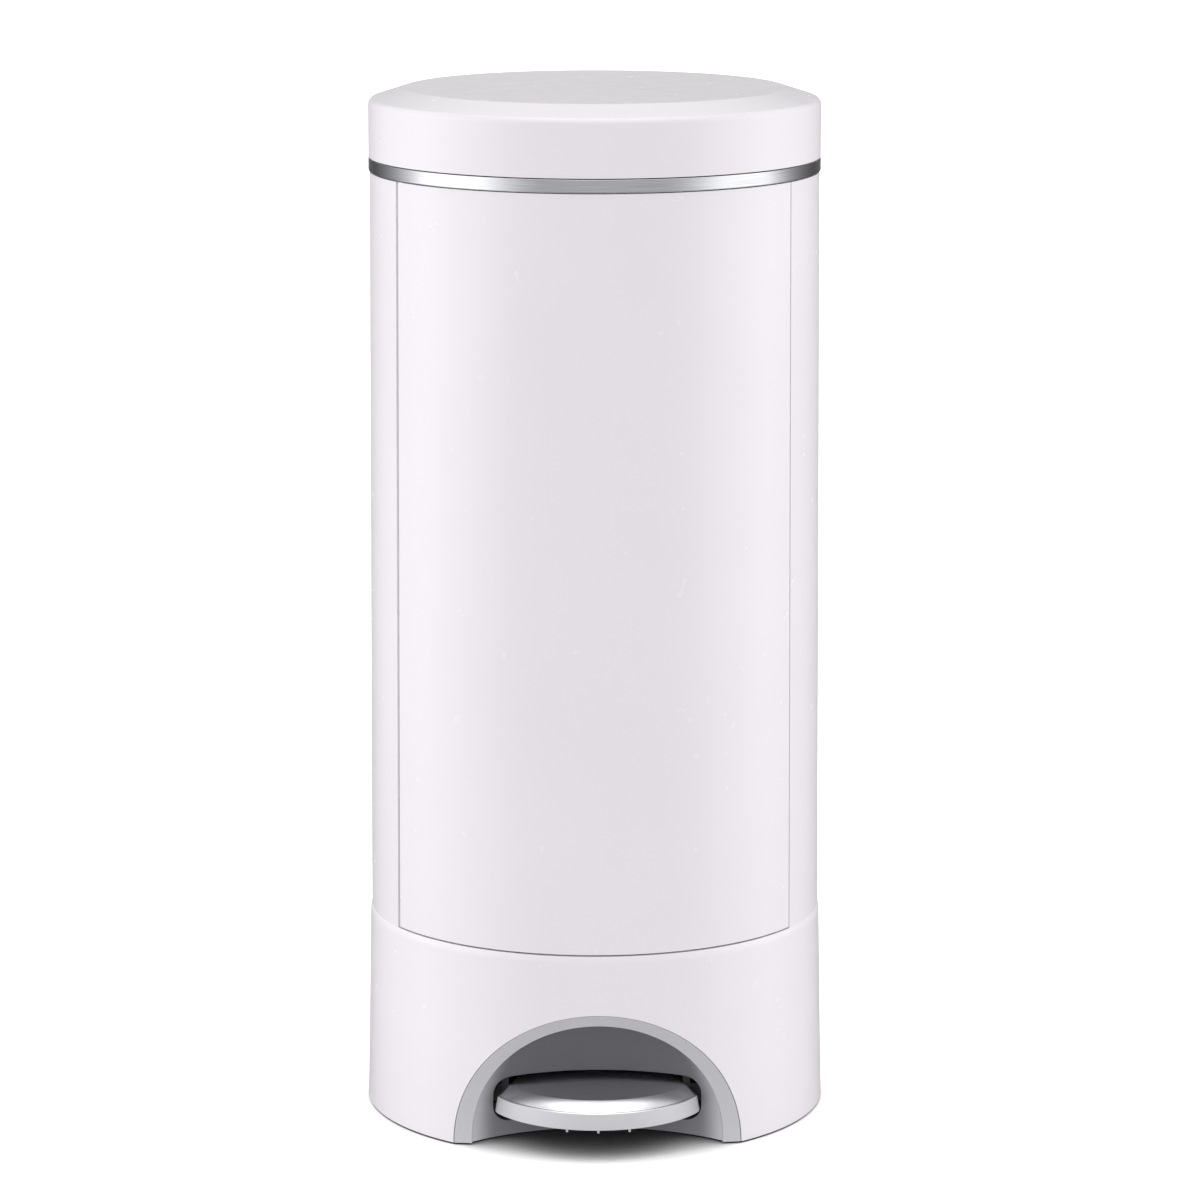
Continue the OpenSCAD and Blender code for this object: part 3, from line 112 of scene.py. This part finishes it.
def moulded_gloss(name, tint, shade, roughness, ripple_height_mm=0.012):
    material, tree, shader, place = new_material(name)
    tone = add_node(tree, "ShaderNodeTexNoise", {"Scale": 1 / (TONE_MM * MM), "Detail": 2.0},
                    {"Vector": place})
    colour = add_node(tree, "ShaderNodeValToRGB", links={"Fac": tone.outputs["Fac"]},
                      stops=[(0.3, linear(shade)), (0.7, linear(tint))])
    tree.links.new(colour.outputs["Color"], shader.inputs["Base Color"])
    wipe = add_node(tree, "ShaderNodeTexNoise", {"Scale": 1 / (WIPE_MM * MM), "Detail": 4.0},
                    {"Vector": place})
    spread = add_node(tree, "ShaderNodeMapRange",
                      {"To Min": roughness * 0.85, "To Max": roughness * 1.2},
                      {"Value": wipe.outputs["Fac"]})
    tree.links.new(spread.outputs["Result"], shader.inputs["Roughness"])
    ripple = add_node(tree, "ShaderNodeTexNoise", {"Scale": 1 / (RIPPLE_MM * MM), "Detail": 1.0},
                      {"Vector": place})
    bump = add_node(tree, "ShaderNodeBump", {"Strength": 0.5, "Distance": ripple_height_mm * MM},
                    {"Height": ripple.outputs["Fac"]})
    tree.links.new(bump.outputs["Normal"], shader.inputs["Normal"])
    shader.inputs["IOR"].default_value = 1.53
    return material


white_abs = moulded_gloss("White_ABS_gloss_moulded", "#E9E5EA", "#E7E3E8", 0.25)
inner_polypropylene = moulded_gloss("Grey_polypropylene_satin_moulded", "#A9ACB0", "#A3A6AA", 0.42)
lever_nylon = moulded_gloss("Dark_glass_filled_nylon_moulded", "#4B4E52", "#44474B", 0.5)

# %% [markdown]
# ## Silver finishes
# The bezel and the recess behind it are one moulding with a satin silver lacquer: flakes of metal
# in a clear coat. The flakes give a fine grain, so a noise shifts both the colour and the tilt of
# the surface. Real flakes are under a tenth of a millimetre and wouldn't show, so they are drawn
# 0.6 mm wide. The recess gets a painted shade: its colour fades to a darker grey towards the
# bin's axis. The pedal's top wears a silver paint that is almost a metal, worn bright by shoes,
# and the skirt round it a duller one.

# %% Silver finishes
FLAKE_MM = 0.6


def silver_lacquer(name, tint, shade, metallic, roughness, recess_shade=None):
    """The last argument paints shade into the recess: the darker grey deep inside, and the
    distances from the axis, in millimetres, between which the lacquer's own colour takes over."""
    material, tree, shader, place = new_material(name)
    flake = add_node(tree, "ShaderNodeTexNoise", {"Scale": 1 / (FLAKE_MM * MM), "Detail": 2.0},
                     {"Vector": place})
    colour = add_node(tree, "ShaderNodeValToRGB", links={"Fac": flake.outputs["Fac"]},
                      stops=[(0.35, linear(shade)), (0.65, linear(tint))]).outputs["Color"]
    tree.links.new(colour, shader.inputs["Base Color"])
    bump = add_node(tree, "ShaderNodeBump", {"Strength": 0.2, "Distance": 0.02 * MM},
                    {"Height": flake.outputs["Fac"]})
    tree.links.new(bump.outputs["Normal"], shader.inputs["Normal"])
    shader.inputs["Metallic"].default_value = metallic
    shader.inputs["Roughness"].default_value = roughness
    # Painted shade: the recess darkens towards the bin's axis.
    if recess_shade:
        painted_shade_colour, shade_deep_mm, shade_edge_mm = recess_shade
        flat_place = add_node(tree, "ShaderNodeVectorMath", {1: (1, 1, 0)}, {0: place},
                              operation="MULTIPLY")
        from_axis = add_node(tree, "ShaderNodeVectorMath", links={0: flat_place.outputs[0]},
                             operation="LENGTH")
        painted_shade_fade = add_node(tree, "ShaderNodeMapRange",
                        {"From Min": shade_deep_mm * MM, "From Max": shade_edge_mm * MM},
                        {"Value": from_axis.outputs["Value"]}, interpolation_type="SMOOTHSTEP")
        recess_shaded_colour = add_node(tree, "ShaderNodeMix", {6: linear(painted_shade_colour)},
                         {0: painted_shade_fade.outputs["Result"], 7: colour}, data_type="RGBA")
        tree.links.new(recess_shaded_colour.outputs[2], shader.inputs["Base Color"])
    return material


# The recess of the bezel gets a painted shade, a darker grey towards the bin's axis.
bezel_lacquer = silver_lacquer("Satin_silver_lacquer_on_ABS", "#D6D6DB", "#CDCDD3", 0.15, 0.42,
                               recess_shade=("#85858A", 132.0, 153.0))
pedal_paint = silver_lacquer("Bright_silver_paint_on_ABS", "#CFCFD2", "#C8C8CB", 0.95, 0.27)
skirt_paint = silver_lacquer("Satin_silver_paint_on_ABS", "#CFCFD3", "#C8C8CD", 0.1, 0.5)

# %% [markdown]
# ## Brushed aluminium trim ring
# The ring under the lid is a rolled strip of aluminium, brushed along its length. The scratches
# run round the bin, so across the height of the strip the surface changes within a fraction of a
# millimetre, and along it only after a few centimetres. The noise is squeezed in height to draw
# that: its coordinate is the angle round the bin and the height.

# %% Brushed aluminium
RING_RADIUS_MM, SCRATCH_LENGTH_MM, SCRATCH_WIDTH_MM = 155.0, 38.75, 0.2


def brushed_aluminium(name):
    material, tree, shader, place = new_material(name)
    apart = add_node(tree, "ShaderNodeSeparateXYZ", links={"Vector": place})
    turn = add_node(tree, "ShaderNodeMath", operation="ARCTAN2",
                    links={0: apart.outputs["Y"], 1: apart.outputs["X"]})
    along = add_node(tree, "ShaderNodeCombineXYZ",
                     links={"X": turn.outputs[0], "Z": apart.outputs["Z"]})
    scratch_scale = (RING_RADIUS_MM / SCRATCH_LENGTH_MM, 1.0, 1 / (SCRATCH_WIDTH_MM * MM))
    squeeze = add_node(tree, "ShaderNodeMapping", {"Scale": scratch_scale},
                       {"Vector": along.outputs[0]})
    hair = add_node(tree, "ShaderNodeTexNoise", {"Scale": 1.0, "Detail": 3.0},
                    {"Vector": squeeze.outputs[0]})
    colour = add_node(tree, "ShaderNodeValToRGB", links={"Fac": hair.outputs["Fac"]},
                      stops=[(0.3, linear("#B9BABD")), (0.7, linear("#D9DADD"))])
    tree.links.new(colour.outputs["Color"], shader.inputs["Base Color"])
    bump = add_node(tree, "ShaderNodeBump", {"Strength": 0.25, "Distance": 0.01 * MM},
                    {"Height": hair.outputs["Fac"]})
    tree.links.new(bump.outputs["Normal"], shader.inputs["Normal"])
    shader.inputs["Metallic"].default_value = 1.0
    shader.inputs["Roughness"].default_value = 0.24
    return material


ring_metal = brushed_aluminium("Brushed_aluminium_rolled_strip")

# %% [markdown]
# ## The small stuff
# Pins, screws, springs and the rod are zinc plated steel, the feet and the lid's seal are rubber,
# the magnet is sintered ferrite, and the film in the cassette is a bluish polythene. Each has a
# grain that its making leaves, from the crystals of the zinc to the creases of the film, and the
# width of that grain in millimetres is all that the function needs beside the colours.

# %% Steel, rubber, ferrite and film
def plain_finish(name, tint, shade, metallic, roughness, grain_mm):
    material, tree, shader, place = new_material(name)
    grain = add_node(tree, "ShaderNodeTexNoise", {"Scale": 1 / (grain_mm * MM), "Detail": 4.0},
                     {"Vector": place})
    colour = add_node(tree, "ShaderNodeValToRGB", links={"Fac": grain.outputs["Fac"]},
                      stops=[(0.3, linear(shade)), (0.7, linear(tint))])
    tree.links.new(colour.outputs["Color"], shader.inputs["Base Color"])
    bump = add_node(tree, "ShaderNodeBump", {"Strength": 0.3, "Distance": 0.03 * MM},
                    {"Height": grain.outputs["Fac"]})
    tree.links.new(bump.outputs["Normal"], shader.inputs["Normal"])
    shader.inputs["Metallic"].default_value = metallic
    shader.inputs["Roughness"].default_value = roughness
    return material


zinc_steel = plain_finish("Zinc_plated_steel", "#C4C6C8", "#A9ACAF", 1.0, 0.32, 3.3)
black_rubber = plain_finish("Moulded_black_rubber", "#2E2F31", "#242527", 0.0, 0.7, 2.0)
ferrite = plain_finish("Sintered_ferrite", "#3A3B3D", "#2B2C2E", 0.2, 0.55, 1.25)
film_polythene = plain_finish("Blue_polythene_film", "#B5C9DA", "#9FB7CB", 0.0, 0.35, 5.0)

# %% [markdown]
# ## Dressing the CAD pieces
# Each CAD piece carries the name of a material slot in its record. The finishes could be given out
# piece by piece, but by slot no piece can be forgotten, and all screws match.

# %% Hand the finishes to the CAD pieces
finish_of = {
    "body_plastic": white_abs, "bezel_plastic": bezel_lacquer, "pedal_plastic": pedal_paint,
    "ring_metal": ring_metal, "inner_plastic": inner_polypropylene, "lever_plastic": lever_nylon,
    "steel": zinc_steel, "rubber": black_rubber, "magnet": ferrite,
    "film_plastic": film_polythene,
}
for part in frame["record"]["subparts"]:
    for held in frame["nodes"][part["node"]].material_slots:
        held.material = finish_of[part["material_slot"]]

# %% [markdown]
# ## Modelling by hand, in code
# The pedal below is modelled with the same operators that a modeller clicks. Each operator works
# on what is selected, so two helpers clear the selection and pick faces, edges or points by place.
# One more applies a modifier, and the last names the finished piece, smooths it, gives it its
# finish, hangs it on the empty of the body it rides on and hides the CAD piece it stands for.

# %% Helpers for modelling
def deselect():
    for thing in bpy.context.selected_objects:
        thing.select_set(False)


def pick(kind, test):
    """Selects the faces, edges or verts of the edited mesh whose middle passes the test."""
    bpy.ops.mesh.select_all(action="DESELECT")
    bpy.ops.mesh.select_mode(type={"faces": "FACE", "edges": "EDGE", "verts": "VERT"}[kind])
    mesh = bpy.context.object.data
    edited = bmesh.from_edit_mesh(mesh)
    for item in getattr(edited, kind):
        points = [item.co] if kind == "verts" else [v.co for v in item.verts]
        item.select_set(bool(test(sum(points, Vector()) / len(points), item)))
    edited.select_flush(True)
    bmesh.update_edit_mesh(mesh)


def apply_modifier(kind, **settings):
    made = bpy.context.object.modifiers.new(kind.lower(), kind)
    for key, value in settings.items():
        setattr(made, key, value)
    bpy.ops.object.modifier_apply(modifier=made.name)


def finish_piece(name, material, body, stands_for, sharp_deg):
    piece = bpy.context.object
    piece.name = piece.data.name = name
    bpy.ops.object.transform_apply(location=True, rotation=True, scale=True)
    bpy.ops.object.shade_smooth_by_angle(angle=math.radians(sharp_deg))
    piece.data.materials.clear()
    piece.data.materials.append(material)
    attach(piece, body)
    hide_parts(stands_for)
    print(name, len(piece.data.polygons), "faces", [round(v, 4) for v in piece.dimensions])
    return piece


# %% [markdown]
# ## The pedal's cover
# The pedal is a moulded cover, painted silver, with a wide front arc, round corners and a broad
# bevel that runs down to a rounded shoulder over the skirt. Facets would show on such a shiny
# piece, so its outline is drawn with fine spins: from the middle of the front, round the front
# arc, round the corner and back along the side. The corner's circle touches the front arc from
# inside, and the side leaves it on the tangent that meets the neck, where the cover goes into its
# slot.

# %% Pedal outline
HALF_WIDTH, REACH, FRONT_R, CORNER_R = 70.0, 169.0, 77.5, 12.0
NECK, NECK_Y, BACK_Y = 60.0, -96.0, -72.0
SKIRT_LOW = 22.2
UP = (0, 0, 1)
front_y = FRONT_R - REACH
corner_x = HALF_WIDTH - CORNER_R
corner_y = front_y - math.sqrt((FRONT_R - CORNER_R) ** 2 - corner_x ** 2)
corner_turn = math.atan2(corner_y - front_y, corner_x)
neck_line = (NECK - corner_x, NECK_Y - corner_y)
side_turn = math.atan2(neck_line[1], neck_line[0]) - math.acos(CORNER_R / math.hypot(*neck_line))
side_x = corner_x + CORNER_R * math.cos(side_turn)
side_y = corner_y + CORNER_R * math.sin(side_turn)

deselect()
bpy.ops.mesh.primitive_plane_add(size=MM, location=(0, 0, 0))
bpy.ops.object.mode_set(mode="EDIT")
bpy.ops.mesh.select_all(action="SELECT")
bpy.ops.mesh.merge(type="CENTER")
bpy.ops.transform.translate(value=(0, -REACH * MM, SKIRT_LOW * MM))
bpy.ops.mesh.spin(steps=40, angle=-(math.pi / 2 + corner_turn),
                  center=(0, front_y * MM, 0), axis=UP)
bpy.ops.mesh.spin(steps=14, angle=corner_turn - side_turn,
                  center=(corner_x * MM, corner_y * MM, 0), axis=UP)
for run in [((NECK - side_x) * MM, (NECK_Y - side_y) * MM, 0), (0, (BACK_Y - NECK_Y) * MM, 0)]:
    bpy.ops.mesh.extrude_region_move(TRANSFORM_OT_translate={"value": run})
print("half outline", len(bmesh.from_edit_mesh(bpy.context.object.data).verts), "points")

# %% [markdown]
# Mirrored and filled, the outline becomes a face. It is extruded up by the thickness of the
# skirt's lip, and each inset with a rise then makes one step: the flared skirt, the rounded
# shoulder over it, the bevel, and the crest where the bevel meets the flat top. From below the
# same steps go up into the solid and leave a wall of 2.4 mm, as in the moulded cover.

# %% Pedal solid
SKIRT_LIP, SKIRT_FLARE, SKIRT_TOP, PEDAL_TOP = 0.6, 1.8, 33.2, 41.0
BEVEL_W, WALL, HOLLOW_SHOULDER, HOLLOW_BEVEL_W = 9.2, 2.4, 32.5, 6.4
SHOULDER = [(0.5, 0.5), (0.6, 0.1), (0.4, 0.5)]
CREST = [(0.9, 0.35), (0.6, 0.15)]
edge_w = sum(inset for inset, rise in SHOULDER + CREST)
edge_h = sum(rise for inset, rise in SHOULDER + CREST)

bpy.ops.mesh.select_all(action="SELECT")
bpy.ops.object.mode_set(mode="OBJECT")
apply_modifier("MIRROR", use_axis=(True, False, False), use_mirror_merge=True,
               merge_threshold=0.05 * MM)
bpy.ops.object.mode_set(mode="EDIT")
bpy.ops.mesh.select_all(action="SELECT")
bpy.ops.mesh.edge_face_add()
bpy.ops.mesh.extrude_region_move(TRANSFORM_OT_translate={"value": (0, 0, SKIRT_LIP * MM)})
bpy.ops.mesh.normals_make_consistent(inside=False)


def step_up(steps):
    """Insets the selected face and lifts it, once for each step."""
    for inset, rise in steps:
        bpy.ops.mesh.inset(thickness=inset * MM, use_even_offset=True)
        bpy.ops.transform.translate(value=(0, 0, rise * MM))


pick("faces", lambda at, face: at.z > (SKIRT_LOW + SKIRT_LIP / 2) * MM and face.normal.z > 0.9)
step_up([(SKIRT_FLARE, SKIRT_TOP - SKIRT_LOW - SKIRT_LIP)] + SHOULDER
        + [(BEVEL_W - edge_w, PEDAL_TOP - SKIRT_TOP - edge_h)] + CREST)
pick("faces", lambda at, face: at.z < (SKIRT_LOW + 0.1) * MM and face.normal.z < -0.9)
step_up([(WALL, 0.0), (SKIRT_FLARE, HOLLOW_SHOULDER - SKIRT_LOW),
         (HOLLOW_BEVEL_W, PEDAL_TOP - WALL - HOLLOW_SHOULDER)])
print("pedal solid", len(bmesh.from_edit_mesh(bpy.context.object.data).faces), "faces")

# %% [markdown]
# Behind the corners the skirt's edge rises by 2.3 mm in three small lifts, so that the pedal
# clears the round corners of its slot when a foot presses it right down. Then the back is cut off
# inside the slot, and a small bevel takes the sharpness off every edge.

# %% Pedal's clearance, cut and edges
SIDE_LIFTS = [(-122.0, 0.6), (-120.0, 0.8), (-118.0, 0.9)]
CUT_Y, EDGE_SOFTNESS = -87.0, 0.35
for behind_y, lift in SIDE_LIFTS:
    pick("verts", lambda at, vert: at.z < (SKIRT_LOW + 4) * MM and at.y > behind_y * MM)
    bpy.ops.transform.translate(value=(0, 0, lift * MM))
bpy.ops.mesh.select_all(action="SELECT")
bpy.ops.mesh.bisect(plane_co=(0, CUT_Y * MM, 0), plane_no=(0, 1, 0), clear_outer=True,
                    use_fill=True)
bpy.ops.mesh.select_all(action="SELECT")
bpy.ops.mesh.normals_make_consistent(inside=False)
bpy.ops.object.mode_set(mode="OBJECT")
apply_modifier("BEVEL", width=EDGE_SOFTNESS * MM, segments=2, limit_method="ANGLE",
               angle_limit=math.radians(40))
pedal = bpy.context.object
print("pedal", len(pedal.data.polygons), "faces after its edges are softened")

# %% [markdown]
# Three short ribs stand across the front of the skirt and look out below it, where a shoe would
# catch them. One is modelled, with softened edges, and copied twice, each copy moved back along
# the front arc. The piece is joined before it is finished: the bright coat on its top and bevel,
# and the satin one on the steep faces of the skirt.

# %% Grip ribs
RIB_STEP, RIB_DROP, RIB_ROOT = 21.2, 2.4, 8.0
RIB_THICK, RIB_DEPTH, RIB_SETBACK, RIB_ROUND = 1.6, 14.0, 1.8, 0.4
rib_low, rib_high = SKIRT_LOW - RIB_DROP, SKIRT_LOW + RIB_ROOT
rib_middle = RIB_SETBACK + RIB_DEPTH / 2 - REACH
deselect()
bpy.ops.mesh.primitive_cube_add(
    size=1, location=(0, rib_middle * MM, (rib_low + rib_high) / 2 * MM))
bpy.ops.object.mode_set(mode="EDIT")
bpy.ops.transform.resize(value=(RIB_THICK * MM, RIB_DEPTH * MM, (rib_high - rib_low) * MM))
pick("edges", lambda at, edge: at.z < (rib_low + 0.1) * MM
     or abs(edge.verts[0].co.z - edge.verts[1].co.z) > MM)
bpy.ops.mesh.bevel(offset=RIB_ROUND * MM, segments=3)
bpy.ops.object.mode_set(mode="OBJECT")
bpy.ops.object.transform_apply(location=True, rotation=True, scale=True)
rib = bpy.context.object
arc_back_off = FRONT_R - math.sqrt(FRONT_R ** 2 - RIB_STEP ** 2)
ribs = [rib]
for side in (-1, 1):
    twin = rib.copy()
    twin.data = rib.data.copy()
    twin.location = (side * RIB_STEP * MM, arc_back_off * MM, 0)
    bpy.context.collection.objects.link(twin)
    ribs.append(twin)
print(len(ribs), "ribs,", RIB_STEP, "mm apart")

# %% Join and finish the pedal
STEEP_NORMAL_Z = 0.4
deselect()
for thing in ribs + [pedal]:
    thing.select_set(True)
bpy.context.view_layer.objects.active = pedal
bpy.ops.object.join()
pad = finish_piece("pedal_pad", pedal_paint, "pedal", "pedal_cover",
                   sharp_deg=30)
pad.data.materials.append(skirt_paint)
for face in pad.data.polygons:
    steep = abs(face.normal.z) < STEEP_NORMAL_Z
    face.material_index = int(steep or face.center.z < (SKIRT_LOW + SKIRT_LIP) * MM)

# %% [markdown]
# ## The floor
# The bin stands on a white paper sweep that has no horizon. Paper is matt, so a diffuse shader
# does. For the camera its white is raised until the open floor is as white as the background, and
# the Ambient Occlusion node brings it down where the bin shuts out the light, which draws the soft
# shadow under the pedal and round the base. Rays that bounce off the floor on to the bin see a
# plain pale grey, and mirrors don't see the floor at all: the ring reflects the painted room.

# %% Floor
FLOOR_RADIUS, FLOOR_GAP = 40, 0.2 * MM
SHADE_REACH = 140 * MM
BOUNCE_GREY, CORNER_DARK, OPEN_WHITE = 0.60, 0.06, 1.6
deselect()
bpy.ops.mesh.primitive_circle_add(vertices=96, radius=FLOOR_RADIUS, fill_type="NGON",
                                  location=(0, 0, -FLOOR_GAP))
floor = bpy.context.object
floor.name = "floor"
bpy.ops.object.transform_apply(location=True, rotation=True, scale=True)
floor.visible_glossy = False
sweep = bpy.data.materials.new("White_paper_sweep")
sweep.use_nodes = True
sweep_tree = sweep.node_tree
sweep_tree.nodes.clear()
seen = add_node(sweep_tree, "ShaderNodeLightPath")
open_sky = add_node(sweep_tree, "ShaderNodeAmbientOcclusion", {"Distance": SHADE_REACH},
                    samples=16)
contact = add_node(sweep_tree, "ShaderNodeMapRange",
                   {"From Min": CORNER_DARK, "From Max": 0.8,
                    "To Min": CORNER_DARK, "To Max": OPEN_WHITE},
                   {"Value": open_sky.outputs["AO"]})
paper_white = add_node(sweep_tree, "ShaderNodeMix", {"A": BOUNCE_GREY},
                       {"Factor": seen.outputs["Is Camera Ray"], "B": contact.outputs["Result"]})
paper = add_node(sweep_tree, "ShaderNodeBsdfDiffuse",
                 links={"Color": paper_white.outputs["Result"]})
add_node(sweep_tree, "ShaderNodeOutputMaterial", links={"Surface": paper.outputs[0]})
floor.data.materials.append(sweep)
print("floor", FLOOR_RADIUS, "m in radius")

# %% [markdown]
# ## Light
# Two soft boxes stand beside the bin and a little behind it, left and right. Their light falls off
# from the edges of the body inwards, so its sides are the brightest white and its middle is
# the greyest, which is what makes it look round. The camera and the mirrors don't see the lamps.

# %% Soft boxes
LAMP_TURN_DEG, LAMP_DISTANCE, LAMP_HEIGHT = 112, 1.6, 0.60
LAMP_WIDTH, LAMP_TALL, LAMP_WATTS = 0.8, 0.45, 8.5


def soft_box(name, turn_deg):
    """An area lamp, turned round the bin from the camera's side, that faces the axis."""
    turn = math.radians(turn_deg)
    place = Vector((math.sin(turn) * LAMP_DISTANCE, -math.cos(turn) * LAMP_DISTANCE, LAMP_HEIGHT))
    lamp = bpy.data.lights.new(name, "AREA")
    lamp.shape, lamp.energy = "RECTANGLE", LAMP_WATTS
    lamp.size, lamp.size_y = LAMP_WIDTH, LAMP_TALL
    lamp_object = bpy.data.objects.new(name, lamp)
    lamp_object.location = place
    aim = Vector((0, 0, LAMP_HEIGHT)) - place
    lamp_object.rotation_euler = aim.to_track_quat("-Z", "Y").to_euler()
    lamp_object.visible_camera = False
    lamp_object.visible_glossy = False
    bpy.context.collection.objects.link(lamp_object)
    print(name, "at", [round(v, 3) for v in place])


soft_box("soft_box_left", -LAMP_TURN_DEG)
soft_box("soft_box_right", LAMP_TURN_DEG)

# %% [markdown]
# ## The room as the gloss sees it
# The trim ring is a mirror that shows the studio: mid grey in front, a wide white screen on each
# side between 60 and 100 degrees from the camera, and black flags behind them. Screens and flags
# could be modelled as planes, but they would shade the bin and show in other views. The world
# paints them instead, as a ramp over the angle round the bin: first the direction of the ray
# becomes a turn from -180 to 180 degrees, with the camera at 0, and the ramp gives its level.
# Just below eye level the walls dim towards the floor.

# %% Walls of the room
SCREEN_LEVEL, LOW_SHARE = 2.3, 0.4
room = [(-180, 0.45), (-165, 0.16), (-150, 0.06), (-132, 0.25), (-118, 0.58), (-106, 1.1),
        (-97, 2.2), (-60, 2.2), (-50, 1.4), (-40, 0.9), (-28, 0.66), (0, 0.75), (32, 0.65),
        (44, 0.78), (54, 1.2), (66, 1.9), (98, 1.9), (104, 1.1), (114, 0.55), (124, 0.26),
        (145, 0.07), (165, 0.16), (180, 0.45)]
world = bpy.data.worlds.new("studio_room")
bpy.context.scene.world = world
world.use_nodes = True
sky = world.node_tree
sky.nodes.clear()
look = add_node(sky, "ShaderNodeTexCoord")
axes = add_node(sky, "ShaderNodeSeparateXYZ", links={"Vector": look.outputs["Generated"]})
to_front = add_node(sky, "ShaderNodeMath", {1: -1.0}, {0: axes.outputs["Y"]},
                    operation="MULTIPLY")
turn_round = add_node(sky, "ShaderNodeMath",
                      links={0: axes.outputs["X"], 1: to_front.outputs[0]}, operation="ARCTAN2")
share = add_node(sky, "ShaderNodeMapRange", {"From Min": -math.pi, "From Max": math.pi},
                 {"Value": turn_round.outputs[0]})
wall_stops = [(turn_deg / 360 + 0.5, (level / SCREEN_LEVEL,) * 3 + (1,))
              for turn_deg, level in room]
walls = add_node(sky, "ShaderNodeValToRGB", links={"Fac": share.outputs["Result"]},
                 stops=wall_stops)
low_wall = add_node(sky, "ShaderNodeMapRange",
                    {"From Min": -0.27, "From Max": -0.11,
                     "To Min": LOW_SHARE * SCREEN_LEVEL, "To Max": SCREEN_LEVEL},
                    {"Value": axes.outputs["Z"]})
bright = add_node(sky, "ShaderNodeMath", operation="MULTIPLY",
                  links={0: walls.outputs["Color"], 1: low_wall.outputs["Result"]})
print("room painted from", len(room), "levels")

# %% [markdown]
# Above the walls hangs a large soft box. Straight overhead it is brightest, and gives the pedal's
# bevel its white band. Only glossy rays see this room. The rest of the light is for matt surfaces:
# nearly even, a little stronger from the sides and dimmed from above, because the sloping rim of
# the lid would burn out otherwise. The camera sees plain white, which makes the background.

# %% Ceiling and what each ray sees
CEILING_EDGE, CEILING_MIDDLE = 1.15, 3.0
EVEN_LEVEL, SIDE_SHARE, TOP_SHARE = 1.08, 0.34, 0.5   # the light that matt surfaces get
overhead = add_node(sky, "ShaderNodeMapRange",
                    {"From Min": 0.26, "From Max": 0.7, "To Min": 0.0, "To Max": 1.0},
                    {"Value": axes.outputs["Z"]}, interpolation_type="SMOOTHSTEP")
ceiling_box = add_node(sky, "ShaderNodeMapRange",
                       {"From Min": 0.78, "From Max": 0.97,
                        "To Min": CEILING_EDGE, "To Max": CEILING_MIDDLE},
                       {"Value": axes.outputs["Z"]}, interpolation_type="SMOOTHSTEP")
mirror_room = add_node(sky, "ShaderNodeMix",
                       links={"Factor": overhead.outputs["Result"], "A": bright.outputs[0],
                              "B": ceiling_box.outputs["Result"]})
matt_walls = add_node(sky, "ShaderNodeMath", {1: SIDE_SHARE, 2: EVEN_LEVEL},
                      {0: bright.outputs[0]}, operation="MULTIPLY_ADD")
dim_ceiling = add_node(sky, "ShaderNodeMapRange",
                       {"From Min": 0.4, "From Max": 0.9, "To Min": 1.0, "To Max": TOP_SHARE},
                       {"Value": axes.outputs["Z"]})
matt_room = add_node(sky, "ShaderNodeMath", operation="MULTIPLY",
                     links={0: matt_walls.outputs[0], 1: dim_ceiling.outputs["Result"]})
rays = add_node(sky, "ShaderNodeLightPath")
object_light = add_node(sky, "ShaderNodeMix",
                        links={"Factor": rays.outputs["Is Glossy Ray"],
                               "A": matt_room.outputs[0], "B": mirror_room.outputs["Result"]})
strength = add_node(sky, "ShaderNodeMix", {"B": 1.0},
                    {"Factor": rays.outputs["Is Camera Ray"],
                     "A": object_light.outputs["Result"]})
background = add_node(sky, "ShaderNodeBackground", {"Color": linear("#FFFFFF")},
                      {"Strength": strength.outputs["Result"]})
add_node(sky, "ShaderNodeOutputWorld", links={"Surface": background.outputs[0]})
print("world has", len(sky.nodes), "nodes")

# %% [markdown]
# ## Camera
# The outlines of the lid, the ring and the base fix the camera of the photograph: a long lens,
# 3.36 m in front of the bin and 1.01 m up, tilted down by 11 degrees and turned by just under one.

# %% Camera
eye = bpy.data.cameras.new("photo_camera")
eye.sensor_width = 36
eye.lens = 147.08
eye.clip_end = 100
camera = bpy.data.objects.new("photo_camera", eye)
camera.location = (-0.04903, -3.35655, 1.0115)
camera.rotation_euler = (math.radians(78.94), 0, math.radians(-0.9))
bpy.context.collection.objects.link(camera)
bpy.context.scene.camera = camera
bpy.context.scene.view_settings.view_transform = "Standard"
print("camera", eye.lens, "mm lens")
